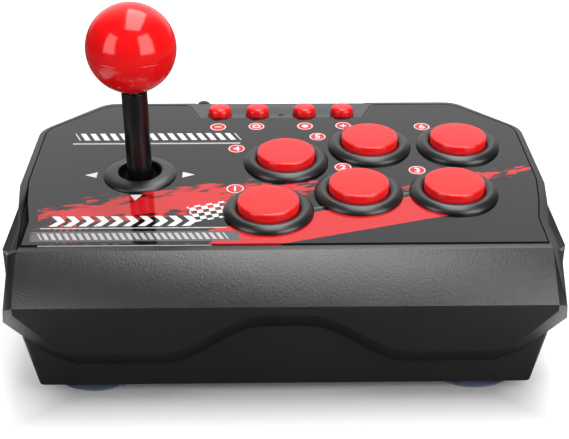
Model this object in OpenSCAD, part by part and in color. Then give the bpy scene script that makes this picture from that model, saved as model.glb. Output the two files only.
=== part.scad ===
// Arcade fight stick: a panel with a ball-topped stick and six 30 mm push buttons on a skirted casing.
// Millimetres, +Z up. The origin is on the table, under the middle of the casing; +Y points to the rear.
// Panel places are given as [x, s]: s runs up the sloping panel from its front crease, w stands off it.

/* [Panel] */
// Slope of the panel, rising to the rear, in degrees
panel_tilt = 5; // [3:0.5:7]
// From the front crease to the nearest button ring
front_margin = 9.05; // [7:0.05:12]
// From the last button ring to the side of the casing
side_margin = 13.65; // [11:0.05:18]
// From the stick to the left side of the casing, past its bracket
stick_side = 19.2; // [16:0.1:24]
// How far the stick stands behind the front button row
stick_lead = 16.5; // [10:0.5:22]
// Plain strip between the rear button rings and the function strip
strip_gap = 8.75; // [6:0.05:12]
// Depth of the sunk function strip along the rear edge
strip_len = 22.1; // [20:0.1:28]
// Thickness of the printed film
film_t = 0.4; // [0.3:0.05:0.6]
// Thickness of the panel deck
deck_t = 2.6; // [2:0.1:3.4]
// Height lost in the bevel round the panel
bevel_drop = 2; // [1.5:0.1:2.4]

/* [Main buttons] */
// Mounting hole of a button
hole_d = 30; // [24.5:0.5:36]
// How far the ring covers the panel round its hole
rim_w = 2.75; // [2.2:0.05:3.5]
// Height of the ring above the film
rim_h = 3; // [2.4:0.1:4]
// Width of the ring's lip over the edge of the plunger's flange
lip_w = 3; // [2.6:0.1:3.6]
// How far a plunger stands above its ring
plunger_rise = 2.7; // [2:0.1:3.4]
// Press of a main button
button_travel = 2.5; // [1.8:0.1:3]
// Depth of the barrel below the film
barrel_depth = 20; // [18:0.5:24]
// Wall of the barrel
barrel_wall = 1.4; // [1.1:0.1:1.8]
// Gap between the first and second rings of a row
col_gap_1 = 0.5; // [0.3:0.1:4]
// Gap between the second and third rings of a row
col_gap_2 = 2.5; // [0.3:0.1:6]
// Gap between the rows' rings
row_gap = 5; // [2:0.5:9]
// Shift of the rear row to the right
row_shift = 7.6; // [4:0.1:10]
// How far the first column stands nearer to the player
first_drop = 13.7; // [8:0.1:18]
// Between the stick's bracket and the first button's hole
button_side_gap = 8.4; // [6:0.1:12]

/* [Function buttons] */
// Diameter of a function button
cap_d = 10.3; // [8.5:0.1:12.5]
// Height of a function button above the strip
cap_h = 4; // [3:0.1:5]
// Press of a function button
cap_travel = 0.8; // [0.5:0.1:1]
// Pitch of the two buttons on one side
cap_pitch = 17.1; // [15.5:0.1:21]
// From the middle of the strip to the nearest button
cap_inner = 10.7; // [9.5:0.1:14]
// Diameter of the status light
light_d = 2.4; // [1.8:0.1:3]

/* [Stick] */
// Diameter of the ball top
ball_d = 35; // [29:0.5:42]
// Height of the ball's centre above the film
ball_h = 55.6; // [47:0.2:67]
// Diameter of the black sleeve
sleeve_d = 10.2; // [8.6:0.1:11]
// Diameter of the steel shaft
shaft_d = 6; // [5:0.1:7]
// Tilt of the stick to each side, in degrees
stick_tilt = 8.5; // [7:0.5:9]
// Depth of the pivot below the film
pivot_depth = 13; // [12.4:0.2:14]
// Free play between the sleeve and the collar with the stick in a corner
collar_play = 0.4; // [0.35:0.05:0.6]
// Width of the collar ring
collar_w = 6.2; // [5.2:0.1:7.4]
// Height of the collar above the film
collar_h = 2.3; // [1.9:0.1:2.7]
// Inner width of the stick bracket's tower
tower_in = 35; // [33:0.5:42]
// Wall of the tower
tower_wall = 2.5; // [2:0.1:3]
// Flange of the bracket on each side of its tower
bracket_flange = 9; // [8:0.5:11]

/* [Casing] */
// Wall of the skirts and the base
wall = 2.2; // [1.8:0.1:2.6]
// Forward run of the cowl's slope
slope_run = 16.3; // [14:0.1:20]
// Fall of the cowl's slope
slope_rise = 15.1; // [12.5:0.1:18]
// Height of the cowl's upright face
face_h = 19.3; // [17:0.1:22]
// Height of the face left above the wave
wave_web = 3.7; // [3.1:0.1:4.4]
// Half the width of the wave at its foot
wave_foot = 45.5; // [38:0.5:53]
// Half the width of the wave's flat top
wave_top = 8.4; // [7:0.1:10]
// Run of the cowl's cut lower corners
corner_run = 15.4; // [13:0.1:18]
// Outward reach of the band round the cowl at its sides
band_side = 5; // [4.2:0.1:6]
// Downward reach of the band along the cowl's lower edge
band_drop = 7.3; // [6.2:0.1:8.4]
// Depth of the band from front to back
band_back = 5; // [4.2:0.1:6]
// Thickness of the cowl, measured from front to back
cowl_skin = 3; // [2.5:0.1:3.5]
// How far the wing tips fall below the panel
wing_drop = 6.9; // [5.8:0.1:8.2]
// Height of the skirts' lower edge above the table
skirt_z = 23; // [19:0.5:27]

/* [Base] */
// Height of the suction feet
foot_h = 4; // [3.4:0.1:4.8]
// Diameter of a suction foot
foot_d = 37; // [31:0.5:41]
// Floor of the base
floor_t = 2.5; // [2.1:0.1:3]
// Inward draft of the base's lower walls
base_draft = 4.3; // [3.5:0.1:5.1]
// Height of the drafted part of the walls
draft_h = 21.6; // [18:0.2:25]
// Room between the stick's lower end and the floor
under_gap = 14.9; // [12:0.1:17]

/* [Cord] */
// Diameter of the cord
cord_d = 4; // [3.4:0.1:4.2]
// Radius of the wound cord's outer turn
coil_r = 44; // [40:0.5:52]
// Step between neighbouring turns
coil_step = 4.7; // [4.5:0.05:5.4]

/* [Hidden] */
$fn = 64;

// Shared clearances and overruns
fit = 0.1;
run_gap = 0.3;
pin_gap = 0.06;
over = 1;

// Main button derived from its mounting hole
bezel_d = hole_d + 2 * rim_w;
barrel_d = hole_d - 2 * fit - 0.2 * run_gap;
plunger_d = hole_d - 2 * lip_w;
bore_r = barrel_d / 2 - barrel_wall;
plunger_gap = 0.35;
lip_under = 0.7;
flange_t = 2;
flange_r = bore_r - run_gap;
end_t = 1.5;
cap_t = 2;
cap_wall = 1.4;
stem_r = 3;
spring_r = 6;
wire_r = 0.45;
spring_turns = 5;
nub_r = 1.2;
end_hole_r = 4.2;
switch_size = [12.8, 5.8, 6.5];
terminal_size = [0.6, 2.4, 3.5];
terminal_pitch = 8.8;
tab_w = 6;
tab_out = 0.9;
tab_h = 2;
plunger_edge = 1.3;
plunger_crown = 0.35;
plunger_top = rim_h + plunger_rise;
flange_top = -lip_under - run_gap;
stem_low = switch_top_w() + run_gap + button_travel;
function switch_top_w() = -barrel_depth + end_t + wire_r;

// Panel layout from the buttons and the stick
bracket_w = tower_in + 2 * tower_wall + 2 * bracket_flange;
bracket_l = tower_in + 2 * tower_wall;
col_pitch_1 = bezel_d + col_gap_1;
col_pitch_2 = bezel_d + col_gap_2;
row_pitch = bezel_d + row_gap;
row_s = front_margin + bezel_d / 2 + first_drop;
stick_gap = bracket_w / 2 + button_side_gap + hole_d / 2;
stick_margin = bracket_w / 2 + stick_side;
half_w = (stick_margin + stick_gap + col_pitch_1 + col_pitch_2 + row_shift + bezel_d / 2 + side_margin) / 2;
stick_x = -half_w + stick_margin;
stick_s = row_s + stick_lead;
first_x = stick_x + stick_gap;
strip_s = row_s + row_pitch + bezel_d / 2 + strip_gap;
panel_len = strip_s + strip_len;
front_row = [
    [first_x, row_s - first_drop],
    [first_x + col_pitch_1, row_s],
    [first_x + col_pitch_1 + col_pitch_2, row_s],
];
buttons = concat(front_row, [for (p = front_row) [p[0] + row_shift, p[1] + row_pitch]]);

// Stick, measured from the film along its own axis; a corner tilts it about both pins at once
corner_tilt = asin(sqrt(2) * sin(stick_tilt));
hub_r = 7;
hub_h = 12;
gimbal_in = 9.5;
gimbal_out = 13;
gimbal_h = 9;
pin_r = 2;
sleeve_low = -6;
sleeve_top = ball_h - ball_d / 2 - run_gap;
collar_in = sleeve_d / 2 + (pivot_depth + collar_h) * sin(corner_tilt) + collar_play;
collar_out = collar_in + collar_w;
collar_barrel = collar_in + 1.9;
collar_low = -6;
collar_round = 0.7;
bracket_top = -8;
bracket_t = 2.5;
ledge_drop = 8;
ledge_t = 2;
ledge_hole = 9;
cup_r = 10;
cup_t = 1.5;
cup_drop = (ledge_drop + ledge_t + run_gap + cup_r * sin(corner_tilt)) / cos(corner_tilt);
cup_neck_r = 6;
centring_h = 4.4;
actuator_r = 6;
actuator_h = 7.4;
actuator_drop = cup_drop + cup_t + centring_h;
ledge_top = -pivot_depth - ledge_drop;
cup_top = -pivot_depth - cup_drop;
actuator_top = -pivot_depth - actuator_drop;
actuator_low = actuator_top - actuator_h;
shaft_end = 2;
shaft_low = -actuator_low + shaft_end;
clip_t = 0.8;
clip_r = 5;
groove_r = 2.3;
gate_t = 2.5;
gate_top = actuator_low + gate_t;
gate_half = actuator_r + (-actuator_low - pivot_depth) * sin(stick_tilt) + run_gap;
lever_half = actuator_r + (-gate_top - pivot_depth) * sin(stick_tilt) + run_gap;
stick_switch = [12.8, 5.8, 6.2];
bracket_hole = [(bracket_w - bracket_flange) / 2, (bracket_l - bracket_flange) / 2];
centring_r = 5;
centring_wire = 0.5;
centring_turns = 2;

// Where the crease and the cowl stand
crease_y = (slope_run - panel_len * cos(panel_tilt) - bevel_drop * sin(panel_tilt)) / 2;
crease_z = foot_h + floor_t + under_gap + shaft_low * cos(panel_tilt) - stick_s * sin(panel_tilt);
front_y = crease_y - slope_run;
rear_y = -front_y;
face_top_z = crease_z - slope_rise;
face_low_z = face_top_z - face_h;
deck_low = -film_t - deck_t;

// Outline of the deck's bevel and of the film, as shares of half_w and of panel_len
bevel_shares = [[0.955, 0], [0.952, 0.023], [0.951, 0.15], [0.979, 0.272], [1.002, 0.401], [1.001, 0.788], [0.757, 1]];
film_shares = [
    [0.924, 0], [0.918, 0.0255], [0.9185, 0.1605], [0.947, 0.272], [0.97, 0.401], [0.971, 0.764], [0.738, 0.9537],
];
corner_r = 5;
corner_steps = 4;
tip_share = [1, 0.089];
flare = 3;
lip = 0.15;
bury = 0.3;

// Cowl
cowl_half = bevel_side(film_shares[0]);
corner_drop = 2.6;
corner_lip = 1.5;
corner_toe = 3.8;
band_lean = 3.6;
band_splay = 0.92;
band_toe = 2;
corner_sag = 0.8;
band_share = 0.71;
rim_share = 0.667;
rim_back = 1.2;
cowl_back = crease_y + cowl_skin;
wave_steps = 14;
function bevel_side(share) = share[0] * half_w;

// Function strip: its floor is level
strip_floor = on_plane(0, strip_s, -film_t);
strip_end = 2.35;
strip_half = cap_inner + cap_pitch + cap_d / 2 + strip_end;
strip_spread = 3.5;
strip_flank = 9.1;
pad_t = 2.4;
cap_back = 8.5;
light_back = 7.2;
cap_fit = 0.25;
cap_flange = 1.2;
cap_flange_t = 1.2;
cap_stem_r = 2;
cap_stem = 2.6;
cap_edge = 1.4;
cap_xs = [-cap_inner - cap_pitch, -cap_inner, cap_inner, cap_inner + cap_pitch];
cap_y = on_plane(0, strip_s + cap_back, 0)[1];
light_y = on_plane(0, strip_s + light_back, 0)[1];
pad_low = strip_floor[2] - pad_t;
cap_low = pad_low - run_gap - cap_flange_t - cap_stem;
tact_top = cap_low - cap_travel - fit;
tact_size = [6, 6, 3.2];
tact_nub_r = 1.6;
tact_nub_h = 0.6;
fboard_t = 1.6;
fboard_top = tact_top - tact_nub_h - tact_size[2];
fboard_end = 10;
fboard_half = strip_half + fboard_end;
fboard_d = 10;
fboard_hole_x = fboard_half - fboard_end / 2;

// Base tub
rim_gap = 0.5;
side_gap = 0.7;
rear_gap = 2.3;
base_half = cowl_half - side_gap;
base_front = front_y + band_back + rim_back + rim_gap;
base_rear = rear_y - wall - rear_gap;
base_lean = 1.2;
base_shoulder_share = 0.604;
base_rear_share = 0.702;
base_corner_r = 2;
base_edge = 0.3;
floor_top = foot_h + floor_t;

// Feet
foot_inset = 2;
foot_rear_inset = 10;
foot_front = 1.6;
foot_back = 6.5;
foot_x = base_half - base_draft - foot_d / 2 - foot_inset;
foot_front_y = base_front + base_lean + foot_d / 2 + foot_front;
foot_rear_x = base_half - base_draft - foot_d / 2 - foot_rear_inset;
foot_rear_y = base_rear - base_draft - foot_d / 2 - foot_back;
foot_ring = 1.6;
foot_skin = 1.2;
foot_neck_r = 4;
foot_head_r = 5.4;
foot_head_h = 2.6;

// Screws, posts and boards
screw_r = 1.45;
pilot_r = 1.55;
head_r = 2.7;
head_h = 2;
screw_len = 11;
boss_r = 4.5;
post_r = 3.5;
boss_h = 5.5;
post_z = floor_top + boss_h + run_gap;
post_shares = [[-0.45, -0.58], [0.45, -0.58], [0.815, 0.04], [-0.815, 0.43], [-0.468, 0.785], [0.468, 0.785]];
posts = [for (h = post_shares) [h[0] * half_w, h[1] * rear_y]];
standoff_h = 4.5;
standoff_r = 3;
board_t = 1.6;
board_size = [84, 50];
board_mid = [22, -8];
board_inset = 4;
small_screw_r = 1.2;
small_pilot_r = 1.3;
small_head_r = 2.2;
small_head_h = 1.4;
small_screw_len = 5;
board_z = floor_top + standoff_h;

// Cord: the free stretch's route, from the strain relief down to the table
relief_at = [-37, 95, 56];
route = [
    relief_at, [-37, 99, 56], [-37, 104, 54], [-37, 110, 50], [-36, 117, 43], [-34, 123, 35], [-31, 129, 25],
    [-28, 134, 15], [-25, 140, 7], [-23, 147, 3], [-22, 154, 2], [-22, 160, 2],
];
cord_sides = 8;
coil_sides = 6;
turn_rings = 24;
coil_turns = 7.5;
coil_mid = [route[len(route) - 1][0] + coil_r, route[len(route) - 1][1]];
plug_size = [15.6, 26, 9];
plug_z = plug_size[2] / 2 + fit;
coil_end = [coil_mid[0] + coil_r, coil_mid[1]];
coil_tail = [
    [coil_end[0], 152, 6.6], [coil_end[0], 145, 5.7], [coil_end[0], 138, 4.9],
    [coil_end[0], 132, plug_z], [coil_end[0], 126, plug_z],
];
plug_at = coil_tail[len(coil_tail) - 1];
shell_size = [12, 18.6, 4.5];
shell_t = 0.5;
relief_neck_r = 3.2;
relief_big_r = 4.4;
relief_end_r = 3.8;
relief_in = 8;
relief_flange_r = 5.4;
relief_flange_t = 1.6;
relief_grooves = 4;
groove_w = 1.4;
groove_deep = 0.8;

// Points and transforms of the sloping panel
function on_plane(x, s, w) = [
    x,
    crease_y + s * cos(panel_tilt) - w * sin(panel_tilt),
    crease_z + s * sin(panel_tilt) + w * cos(panel_tilt),
];
module on_panel(place = [0, 0]) {
    translate(on_plane(place[0], place[1], 0))
        rotate([panel_tilt, 0, 0])
            children();
}

// A corner of an outline rounded by a curve from one side to the next
function bend(a, b, c, r, steps) =
    let (p = b + (a - b) * min(r / norm(a - b), 0.45), q = b + (c - b) * min(r / norm(c - b), 0.45))
    [for (k = [0 : steps]) let (t = k / steps) p * (1 - t) * (1 - t) + b * 2 * t * (1 - t) + q * t * t];
function mirrored(half) = concat(half, [for (i = [len(half) - 1 : -1 : 0]) [-half[i][0], each drop_first(half[i])]]);
function drop_first(p) = [for (i = [1 : len(p) - 1]) p[i]];
function half_outline(shares) =
    let (p = [for (h = shares) [h[0] * half_w, h[1] * panel_len]], n = len(p), end = [0, p[n - 1][1]])
    concat(
        [for (i = [0 : n - 3]) p[i]],
        bend(p[n - 3], p[n - 2], p[n - 1], corner_r, corner_steps),
        bend(p[n - 2], p[n - 1], end, corner_r, corner_steps)
    );
bevel_half = half_outline(bevel_shares);
film_half = half_outline(film_shares);
function lifted(outline, w) = [for (p = outline) on_plane(p[0], p[1], w)];

// Closed skin through rings of equal length; the rings run counter-clockwise seen from the last one
module loft(rings, cap = undef) {
    n = len(rings[0]);
    m = len(rings);
    sides = [
        for (j = [0 : m - 2], i = [0 : n - 1])
            let (a = j * n + i, b = j * n + (i + 1) % n, c = b + n, d = a + n)
                each [[a, c, b], [a, d, c]],
    ];
    end = cap == undef ? [[for (i = [0 : n - 1]) i]] : cap;
    last = [for (f = end) [for (i = [len(f) - 1 : -1 : 0]) (m - 1) * n + f[i]]];
    polyhedron(points = [for (r = rings) each r], faces = concat(sides, end, last), convexity = 8);
}

// Round tube along a path
function unit(v) = v / norm(v);
module sweep(path, r, sides, up) {
    n = len(path);
    rings = [
        for (i = [0 : n - 1])
            let (t = unit(path[min(i + 1, n - 1)] - path[max(i - 1, 0)]), u = unit(cross(up, t)), v = cross(t, u))
                [for (k = [0 : sides - 1]) path[i] + r * (cos(360 * k / sides) * u + sin(360 * k / sides) * v)],
    ];
    loft(rings);
}
module coil_spring(r, wire, turns, low, high) {
    rings = 8;
    path = [
        for (i = [0 : turns * rings])
            [r * cos(360 * i / rings), r * sin(360 * i / rings), low + wire + (high - low - 2 * wire) * i / (turns * rings)],
    ];
    sweep(path, wire, 6, [0, 0, 1]);
}

// Prism with a side profile given as [y, z], across the whole width
module across(profile, half) {
    rotate([90, 0, 90])
        translate([0, 0, -half])
            linear_extrude(2 * half)
                polygon(profile);
}

// Top shell
module deck() {
    difference() {
        loft([
            lifted(mirrored(bevel_half), deck_low - over),
            lifted(mirrored(bevel_half), -bevel_drop),
            lifted(mirrored(film_half), -film_t),
        ]);
        on_panel([0, panel_len / 2])
            translate([-half_w - over, -panel_len, deck_low - 2 * over])
                cube([2 * (half_w + over), 2 * panel_len, 2 * over]);
    }
}
wing_tip = on_plane(tip_share[0] * half_w, tip_share[1] * panel_len, -wing_drop);
skirt_line = concat(
    [[wing_tip[0], wing_tip[1]]],
    [for (i = [flare : len(bevel_half) - 1]) let (p = on_plane(bevel_half[i][0], bevel_half[i][1], -bevel_drop)) [p[0], p[1]]]
);
function side_normal(a, b) = let (d = unit(b - a)) [-d[1], d[0]];
function inset(line, d) = [
    for (i = [0 : len(line) - 1])
        let (
            n1 = side_normal(line[max(i - 1, 0)], line[max(i, 1)]),
            n2 = side_normal(line[min(i, len(line) - 2)], line[min(i + 1, len(line) - 1)]),
            m = unit(n1 + n2)
        )
            line[i] + m * d / (m * n1),
];
module skirts() {
    outer = inset(mirrored(skirt_line), lip);
    inner = inset(outer, wall);
    flare_point = on_plane(0, bevel_half[flare][1], -bevel_drop - 2 * bury);
    rear_point = on_plane(0, panel_len, -bevel_drop - 2 * bury);
    tip = wing_tip - [0, 0, 2 * bury];
    intersection() {
        linear_extrude(rear_point[2] + over)
            polygon(concat(outer, [for (i = [len(inner) - 1 : -1 : 0]) inner[i]]));
        across([
            [tip[1] - over, skirt_z],
            [tip[1] - over, tip[2] - over * (flare_point[2] - tip[2]) / (flare_point[1] - tip[1])],
            [flare_point[1], flare_point[2]],
            [rear_point[1] + over, rear_point[2] + over * tan(panel_tilt)],
            [rear_point[1] + over, skirt_z],
        ], half_w + over);
    }
}
// Sloping fillet between the bevel and a skirt's falling front
module wing() {
    start = on_plane(bevel_half[flare][0], bevel_half[flare][1], -bevel_drop);
    neck = on_plane(bevel_half[flare - 1][0] - bury, bevel_half[flare - 1][1], -bevel_drop - bury / 3);
    front = on_plane(bevel_half[0][0] - 2 * bury, cowl_skin / 2, -bevel_drop - bury / 3);
    top = [start + unit(start - wing_tip) * wall / 2 - [0, 0, bury], neck, front, wing_tip];
    low = [for (p = top) p - [wall / 2, 0, wall]];
    n = len(top);
    faces = concat(
        [for (i = [0 : n - 3]) [n - 1, i + 1, i]],
        [for (i = [0 : n - 3]) [2 * n - 1, n + i, n + i + 1]],
        [for (i = [0 : n - 1]) let (j = (i + 1) % n) each [[i, n + j, n + i], [i, j, n + j]]]
    );
    polyhedron(points = concat(top, low), faces = faces, convexity = 4);
}

// Cowl: upright face with a wave in its lower edge, slope above it and a raked band all round
function wave_x(k) = wave_foot + (wave_top - wave_foot) * k / wave_steps;
function wave_z(k) = let (t = k / wave_steps) (face_h - wave_web) * t * t * (3 - 2 * t);
function face_half() = concat(
    [
        on_plane(cowl_half, 0, -film_t),
        [cowl_half, front_y, face_top_z],
        [cowl_half, front_y, face_top_z - corner_drop],
        [cowl_half - corner_run, front_y, face_low_z + corner_lip],
        [cowl_half - corner_run - corner_toe, front_y, face_low_z],
    ],
    [for (k = [0 : wave_steps]) [wave_x(k), front_y, face_low_z + wave_z(k)]]
);
function band_half() = concat(
    [
        on_plane(bevel_half[0][0], 0, -bevel_drop),
        [cowl_half + band_splay * band_side, front_y + band_back, face_top_z - band_lean],
        [cowl_half + band_side, front_y + band_back, face_top_z - corner_drop - band_side - corner_sag],
        [cowl_half - corner_run + 0.8 * band_side, front_y + band_back, face_low_z + corner_lip - band_share * band_drop],
        [cowl_half - corner_run - corner_toe - band_toe, front_y + band_back, face_low_z - band_drop],
    ],
    [for (k = [0 : wave_steps]) [wave_x(k), front_y + band_back, face_low_z - band_drop + wave_z(k)]]
);
module cowl() {
    face = face_half();
    band = band_half();
    m = len(face);
    n = 2 * m;
    cap = concat(
        [[0, 1, n - 2, n - 1], [1, m - 1, m, n - 2]],
        [for (k = [2 : m - 2]) each [[1, k, k + 1], [n - 2 - k, n - 1 - k, n - 2]]]
    );
    hollow_face = [for (p = face) p + [0, cowl_skin, 0]];
    hollow_band = [
        for (i = [0 : len(face) - 1])
            let (p = face[i] + (band[i] - face[i]) * rim_share)
                [p[0], max(band[i][1] + rim_back, face[i][1] + 1.2 * cowl_skin), p[2]],
    ];
    difference() {
        loft([
            mirrored(face),
            mirrored(band),
            [for (p = mirrored(band)) [p[0], cowl_back, p[2]]],
        ], cap);
        loft([
            mirrored(hollow_face),
            mirrored(hollow_band),
            [for (p = mirrored(hollow_band)) [p[0], cowl_back + 2 * over, p[2]]],
        ], cap);
        translate([-base_half - rim_gap, base_front - rim_gap, 0])
            cube([2 * (base_half + rim_gap), cowl_back + over - base_front + rim_gap, face_top_z + over]);
    }
}

// Wedge sunk in the rear of the deck, with a level floor and slanted flanks
module strip_wedge() {
    back = rear_y + over;
    run = back - strip_floor[1];
    rise = 3 * run * tan(panel_tilt);
    front_right = [strip_half, strip_floor[1], strip_floor[2]];
    floor_right = [strip_half + strip_spread, back, strip_floor[2]];
    top_right = floor_right + [3 * (strip_flank - strip_spread), 0, rise];
    points = [for (p = [front_right, floor_right, top_right]) each [p, [-p[0], p[1], p[2]]]];
    polyhedron(points, [[0, 2, 3, 1], [0, 1, 5, 4], [2, 4, 5, 3], [0, 4, 2], [1, 3, 5]]);
}
module strip_pad() {
    half = strip_half + strip_flank;
    front = strip_floor[1] + pad_t / 2;
    difference() {
        translate([-half, front, pad_low])
            cube([2 * half, rear_y - wall / 2 - front, pad_t]);
        strip_wedge();
    }
}
module lid_posts() {
    for (p = posts)
        translate([p[0], p[1], post_z])
            cylinder(r = post_r, h = post_rise(p) - post_z);
    for (x = [-1, 1], s = [-1, 1])
        on_panel([stick_x + x * bracket_hole[0], stick_s + s * bracket_hole[1]])
            translate([0, 0, bracket_top])
                cylinder(r = standoff_r, h = -bracket_top - film_t - deck_t / 2);
    for (x = [-fboard_hole_x, fboard_hole_x])
        translate([x, cap_y, fboard_top])
            cylinder(r = standoff_r, h = pad_low + pad_t / 2 - fboard_top);
}
function post_rise(p) = crease_z + (p[1] - crease_y) * tan(panel_tilt) - film_t - deck_t / 2;
module lid_holes() {
    for (b = buttons)
        on_panel(b)
            translate([0, 0, deck_low - 3 * pad_t])
                cylinder(d = hole_d, h = -deck_low + 3 * pad_t + over);
    on_panel([stick_x, stick_s])
        translate([0, 0, deck_low - over])
            cylinder(r = collar_barrel + fit, h = -deck_low + 2 * over);
    for (x = cap_xs)
        translate([x, cap_y, pad_low - over])
            cylinder(r = cap_d / 2 + cap_fit, h = pad_t + 3 * over);
    translate([0, light_y, pad_low - over])
        cylinder(r = light_d / 2 + fit, h = pad_t + 3 * over);
    for (p = posts)
        translate([p[0], p[1], post_z - over])
            cylinder(r = pilot_r, h = screw_len - boss_h + 3 * over);
    for (x = [-1, 1], s = [-1, 1])
        on_panel([stick_x + x * bracket_hole[0], stick_s + s * bracket_hole[1]])
            translate([0, 0, bracket_top - over])
                cylinder(r = pilot_r, h = small_screw_len + over);
    for (x = [-fboard_hole_x, fboard_hole_x])
        translate([x, cap_y, fboard_top - over])
            cylinder(r = small_pilot_r, h = small_screw_len + over);
    translate([relief_at[0], rear_y - wall - over, relief_at[2]])
        rotate([-90, 0, 0])
            cylinder(r = relief_neck_r + run_gap, h = wall + 2 * over);
}
module top_shell() {
    color([0.09, 0.09, 0.1])
        difference() {
            union() {
                difference() {
                    deck();
                    strip_wedge();
                }
                skirts();
                wing();
                mirror([1, 0, 0])
                    wing();
                cowl();
                strip_pad();
                lid_posts();
            }
            lid_holes();
        }
}

// Printed film over the panel
module graphic_overlay() {
    color([0.13, 0.13, 0.14])
        difference() {
            on_panel()
                translate([0, 0, -film_t])
                    linear_extrude(film_t)
                        polygon(mirrored(drop_first(film_half)));
            strip_wedge();
            for (b = buttons)
                on_panel(b)
                    translate([0, 0, -over])
                        cylinder(d = hole_d, h = 2 * over);
            on_panel([stick_x, stick_s])
                translate([0, 0, -over])
                    cylinder(r = collar_barrel + fit, h = 2 * over);
        }
}

// Base tub
function base_outline(out, z) =
    let (
        side = base_half + out,
        rear = base_rear + out,
        front = base_front - out * base_lean / base_draft,
        p = [[side, front], [side, base_shoulder_share * rear_y + out], [base_rear_share * half_w + out, rear], [0, rear]],
        half = concat(
            bend([0, front], p[0], p[1], base_corner_r, corner_steps),
            bend(p[0], p[1], p[2], base_corner_r, corner_steps),
            bend(p[1], p[2], p[3], base_corner_r, corner_steps)
        )
    )
    [for (q = mirrored(half)) [q[0], q[1], z]];
// Room left for the tub under the cowl's slope and the deck
module under_lid() {
    slope = slope_rise / slope_run;
    low = [base_front - over, face_top_z + (base_front - over - front_y - cowl_skin) * slope - rim_gap];
    crest = on_plane(0, cowl_skin + over, deck_low - rim_gap);
    rear = on_plane(0, panel_len, deck_low - rim_gap);
    difference() {
        across([[low[0], 0], low, [crest[1], crest[2]], [rear[1], rear[2]], [rear[1], 0]], half_w);
        translate([-strip_half - strip_flank - rim_gap, strip_floor[1] - pad_t - rim_gap, pad_low - rim_gap])
            cube([2 * (strip_half + strip_flank + rim_gap), rear_y, rear_y]);
    }
}
module base_holes() {
    for (p = posts) {
        translate([p[0], p[1], foot_h - over])
            cylinder(r = pilot_r + fit, h = floor_t + boss_h + 2 * over);
        translate([p[0], p[1], foot_h - over])
            cylinder(r = head_r + run_gap, h = over + head_h + floor_t);
    }
    for (f = feet)
        translate([f[0], f[1], foot_h - over])
            cylinder(r = foot_neck_r + fit, h = floor_t + 2 * over);
    for (p = board_holes)
        translate([p[0], p[1], floor_top + fit])
            cylinder(r = small_pilot_r, h = standoff_h + over);
    translate([relief_at[0] - relief_neck_r - run_gap, base_rear - 2 * wall, relief_at[2] - relief_neck_r - run_gap])
        cube([2 * (relief_neck_r + run_gap), 3 * wall, rear_y]);
}
board_holes = [
    for (x = [-1, 1], y = [-1, 1])
        [board_mid[0] + x * (board_size[0] / 2 - board_inset), board_mid[1] + y * (board_size[1] / 2 - board_inset)],
];
feet = [
    [-foot_x, foot_front_y], [foot_x, foot_front_y], [-foot_rear_x, foot_rear_y], [foot_rear_x, foot_rear_y],
];
module base_shell() {
    high = crease_z + panel_len;
    color([0.12, 0.12, 0.12])
        difference() {
            intersection() {
                union() {
                    difference() {
                        loft([
                            base_outline(-base_draft - base_edge, foot_h),
                            base_outline(-base_draft, foot_h + base_edge),
                            base_outline(0, foot_h + draft_h),
                            base_outline(0, high),
                        ]);
                        loft([
                            base_outline(-base_draft - wall, floor_top),
                            base_outline(-wall, foot_h + draft_h),
                            base_outline(-wall, high + over),
                        ]);
                    }
                    for (p = posts)
                        translate([p[0], p[1], floor_top - wall / 2])
                            cylinder(r = boss_r, h = boss_h + wall / 2);
                    for (p = board_holes)
                        translate([p[0], p[1], floor_top - wall / 2])
                            cylinder(r = standoff_r, h = standoff_h + wall / 2);
                }
                under_lid();
            }
            base_holes();
        }
}

// Suction foot with a neck that buttons into the base
module foot(place) {
    r = foot_d / 2;
    profile = [
        [0, foot_h / 2], [0.55 * r, foot_h / 2.6], [0.82 * r, foot_h / 5], [r - foot_ring, 0],
        [r, 0], [r - foot_skin / 6, foot_skin / 2], [0.8 * r, foot_h / 2], [0.52 * r, 0.86 * foot_h], [0.4 * r, foot_h - fit / 2],
        [foot_neck_r, foot_h - fit / 2], [foot_neck_r, floor_top + fit], [foot_head_r, floor_top + fit],
        [foot_head_r - foot_skin, floor_top + foot_head_h], [0, floor_top + foot_head_h],
    ];
    color([0.55, 0.58, 0.66, 0.7])
        translate([place[0], place[1], 0])
            rotate_extrude()
                polygon(profile);
}

// Screws point along +Z from the under side of their head
module screw(r, h_r, h_h, length) {
    drive = h_r * 0.9;
    difference() {
        union() {
            translate([0, 0, -h_h])
                cylinder(r = h_r, h = h_h);
            cylinder(r = r, h = length);
        }
        for (a = [0, 90])
            rotate([0, 0, a])
                translate([-drive / 2, -h_h / 6, -h_h - over])
                    cube([drive, h_h / 3, over + h_h / 2]);
    }
}
module base_screws() {
    color([0.7, 0.7, 0.72])
        for (p = posts)
            translate([p[0], p[1], floor_top + head_h - fit / 2])
                screw(screw_r, head_r, head_h, screw_len - head_h);
}
module board_screws() {
    color([0.7, 0.7, 0.72]) {
        for (p = board_holes)
            translate([p[0], p[1], board_z + board_t + fit / 2])
                mirror([0, 0, 1])
                    screw(small_screw_r, small_head_r, small_head_h, small_screw_len);
        for (x = [-fboard_hole_x, fboard_hole_x])
            translate([x, cap_y, fboard_top - fboard_t - fit / 2])
                screw(small_screw_r, small_head_r, small_head_h, small_screw_len);
    }
}
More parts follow.
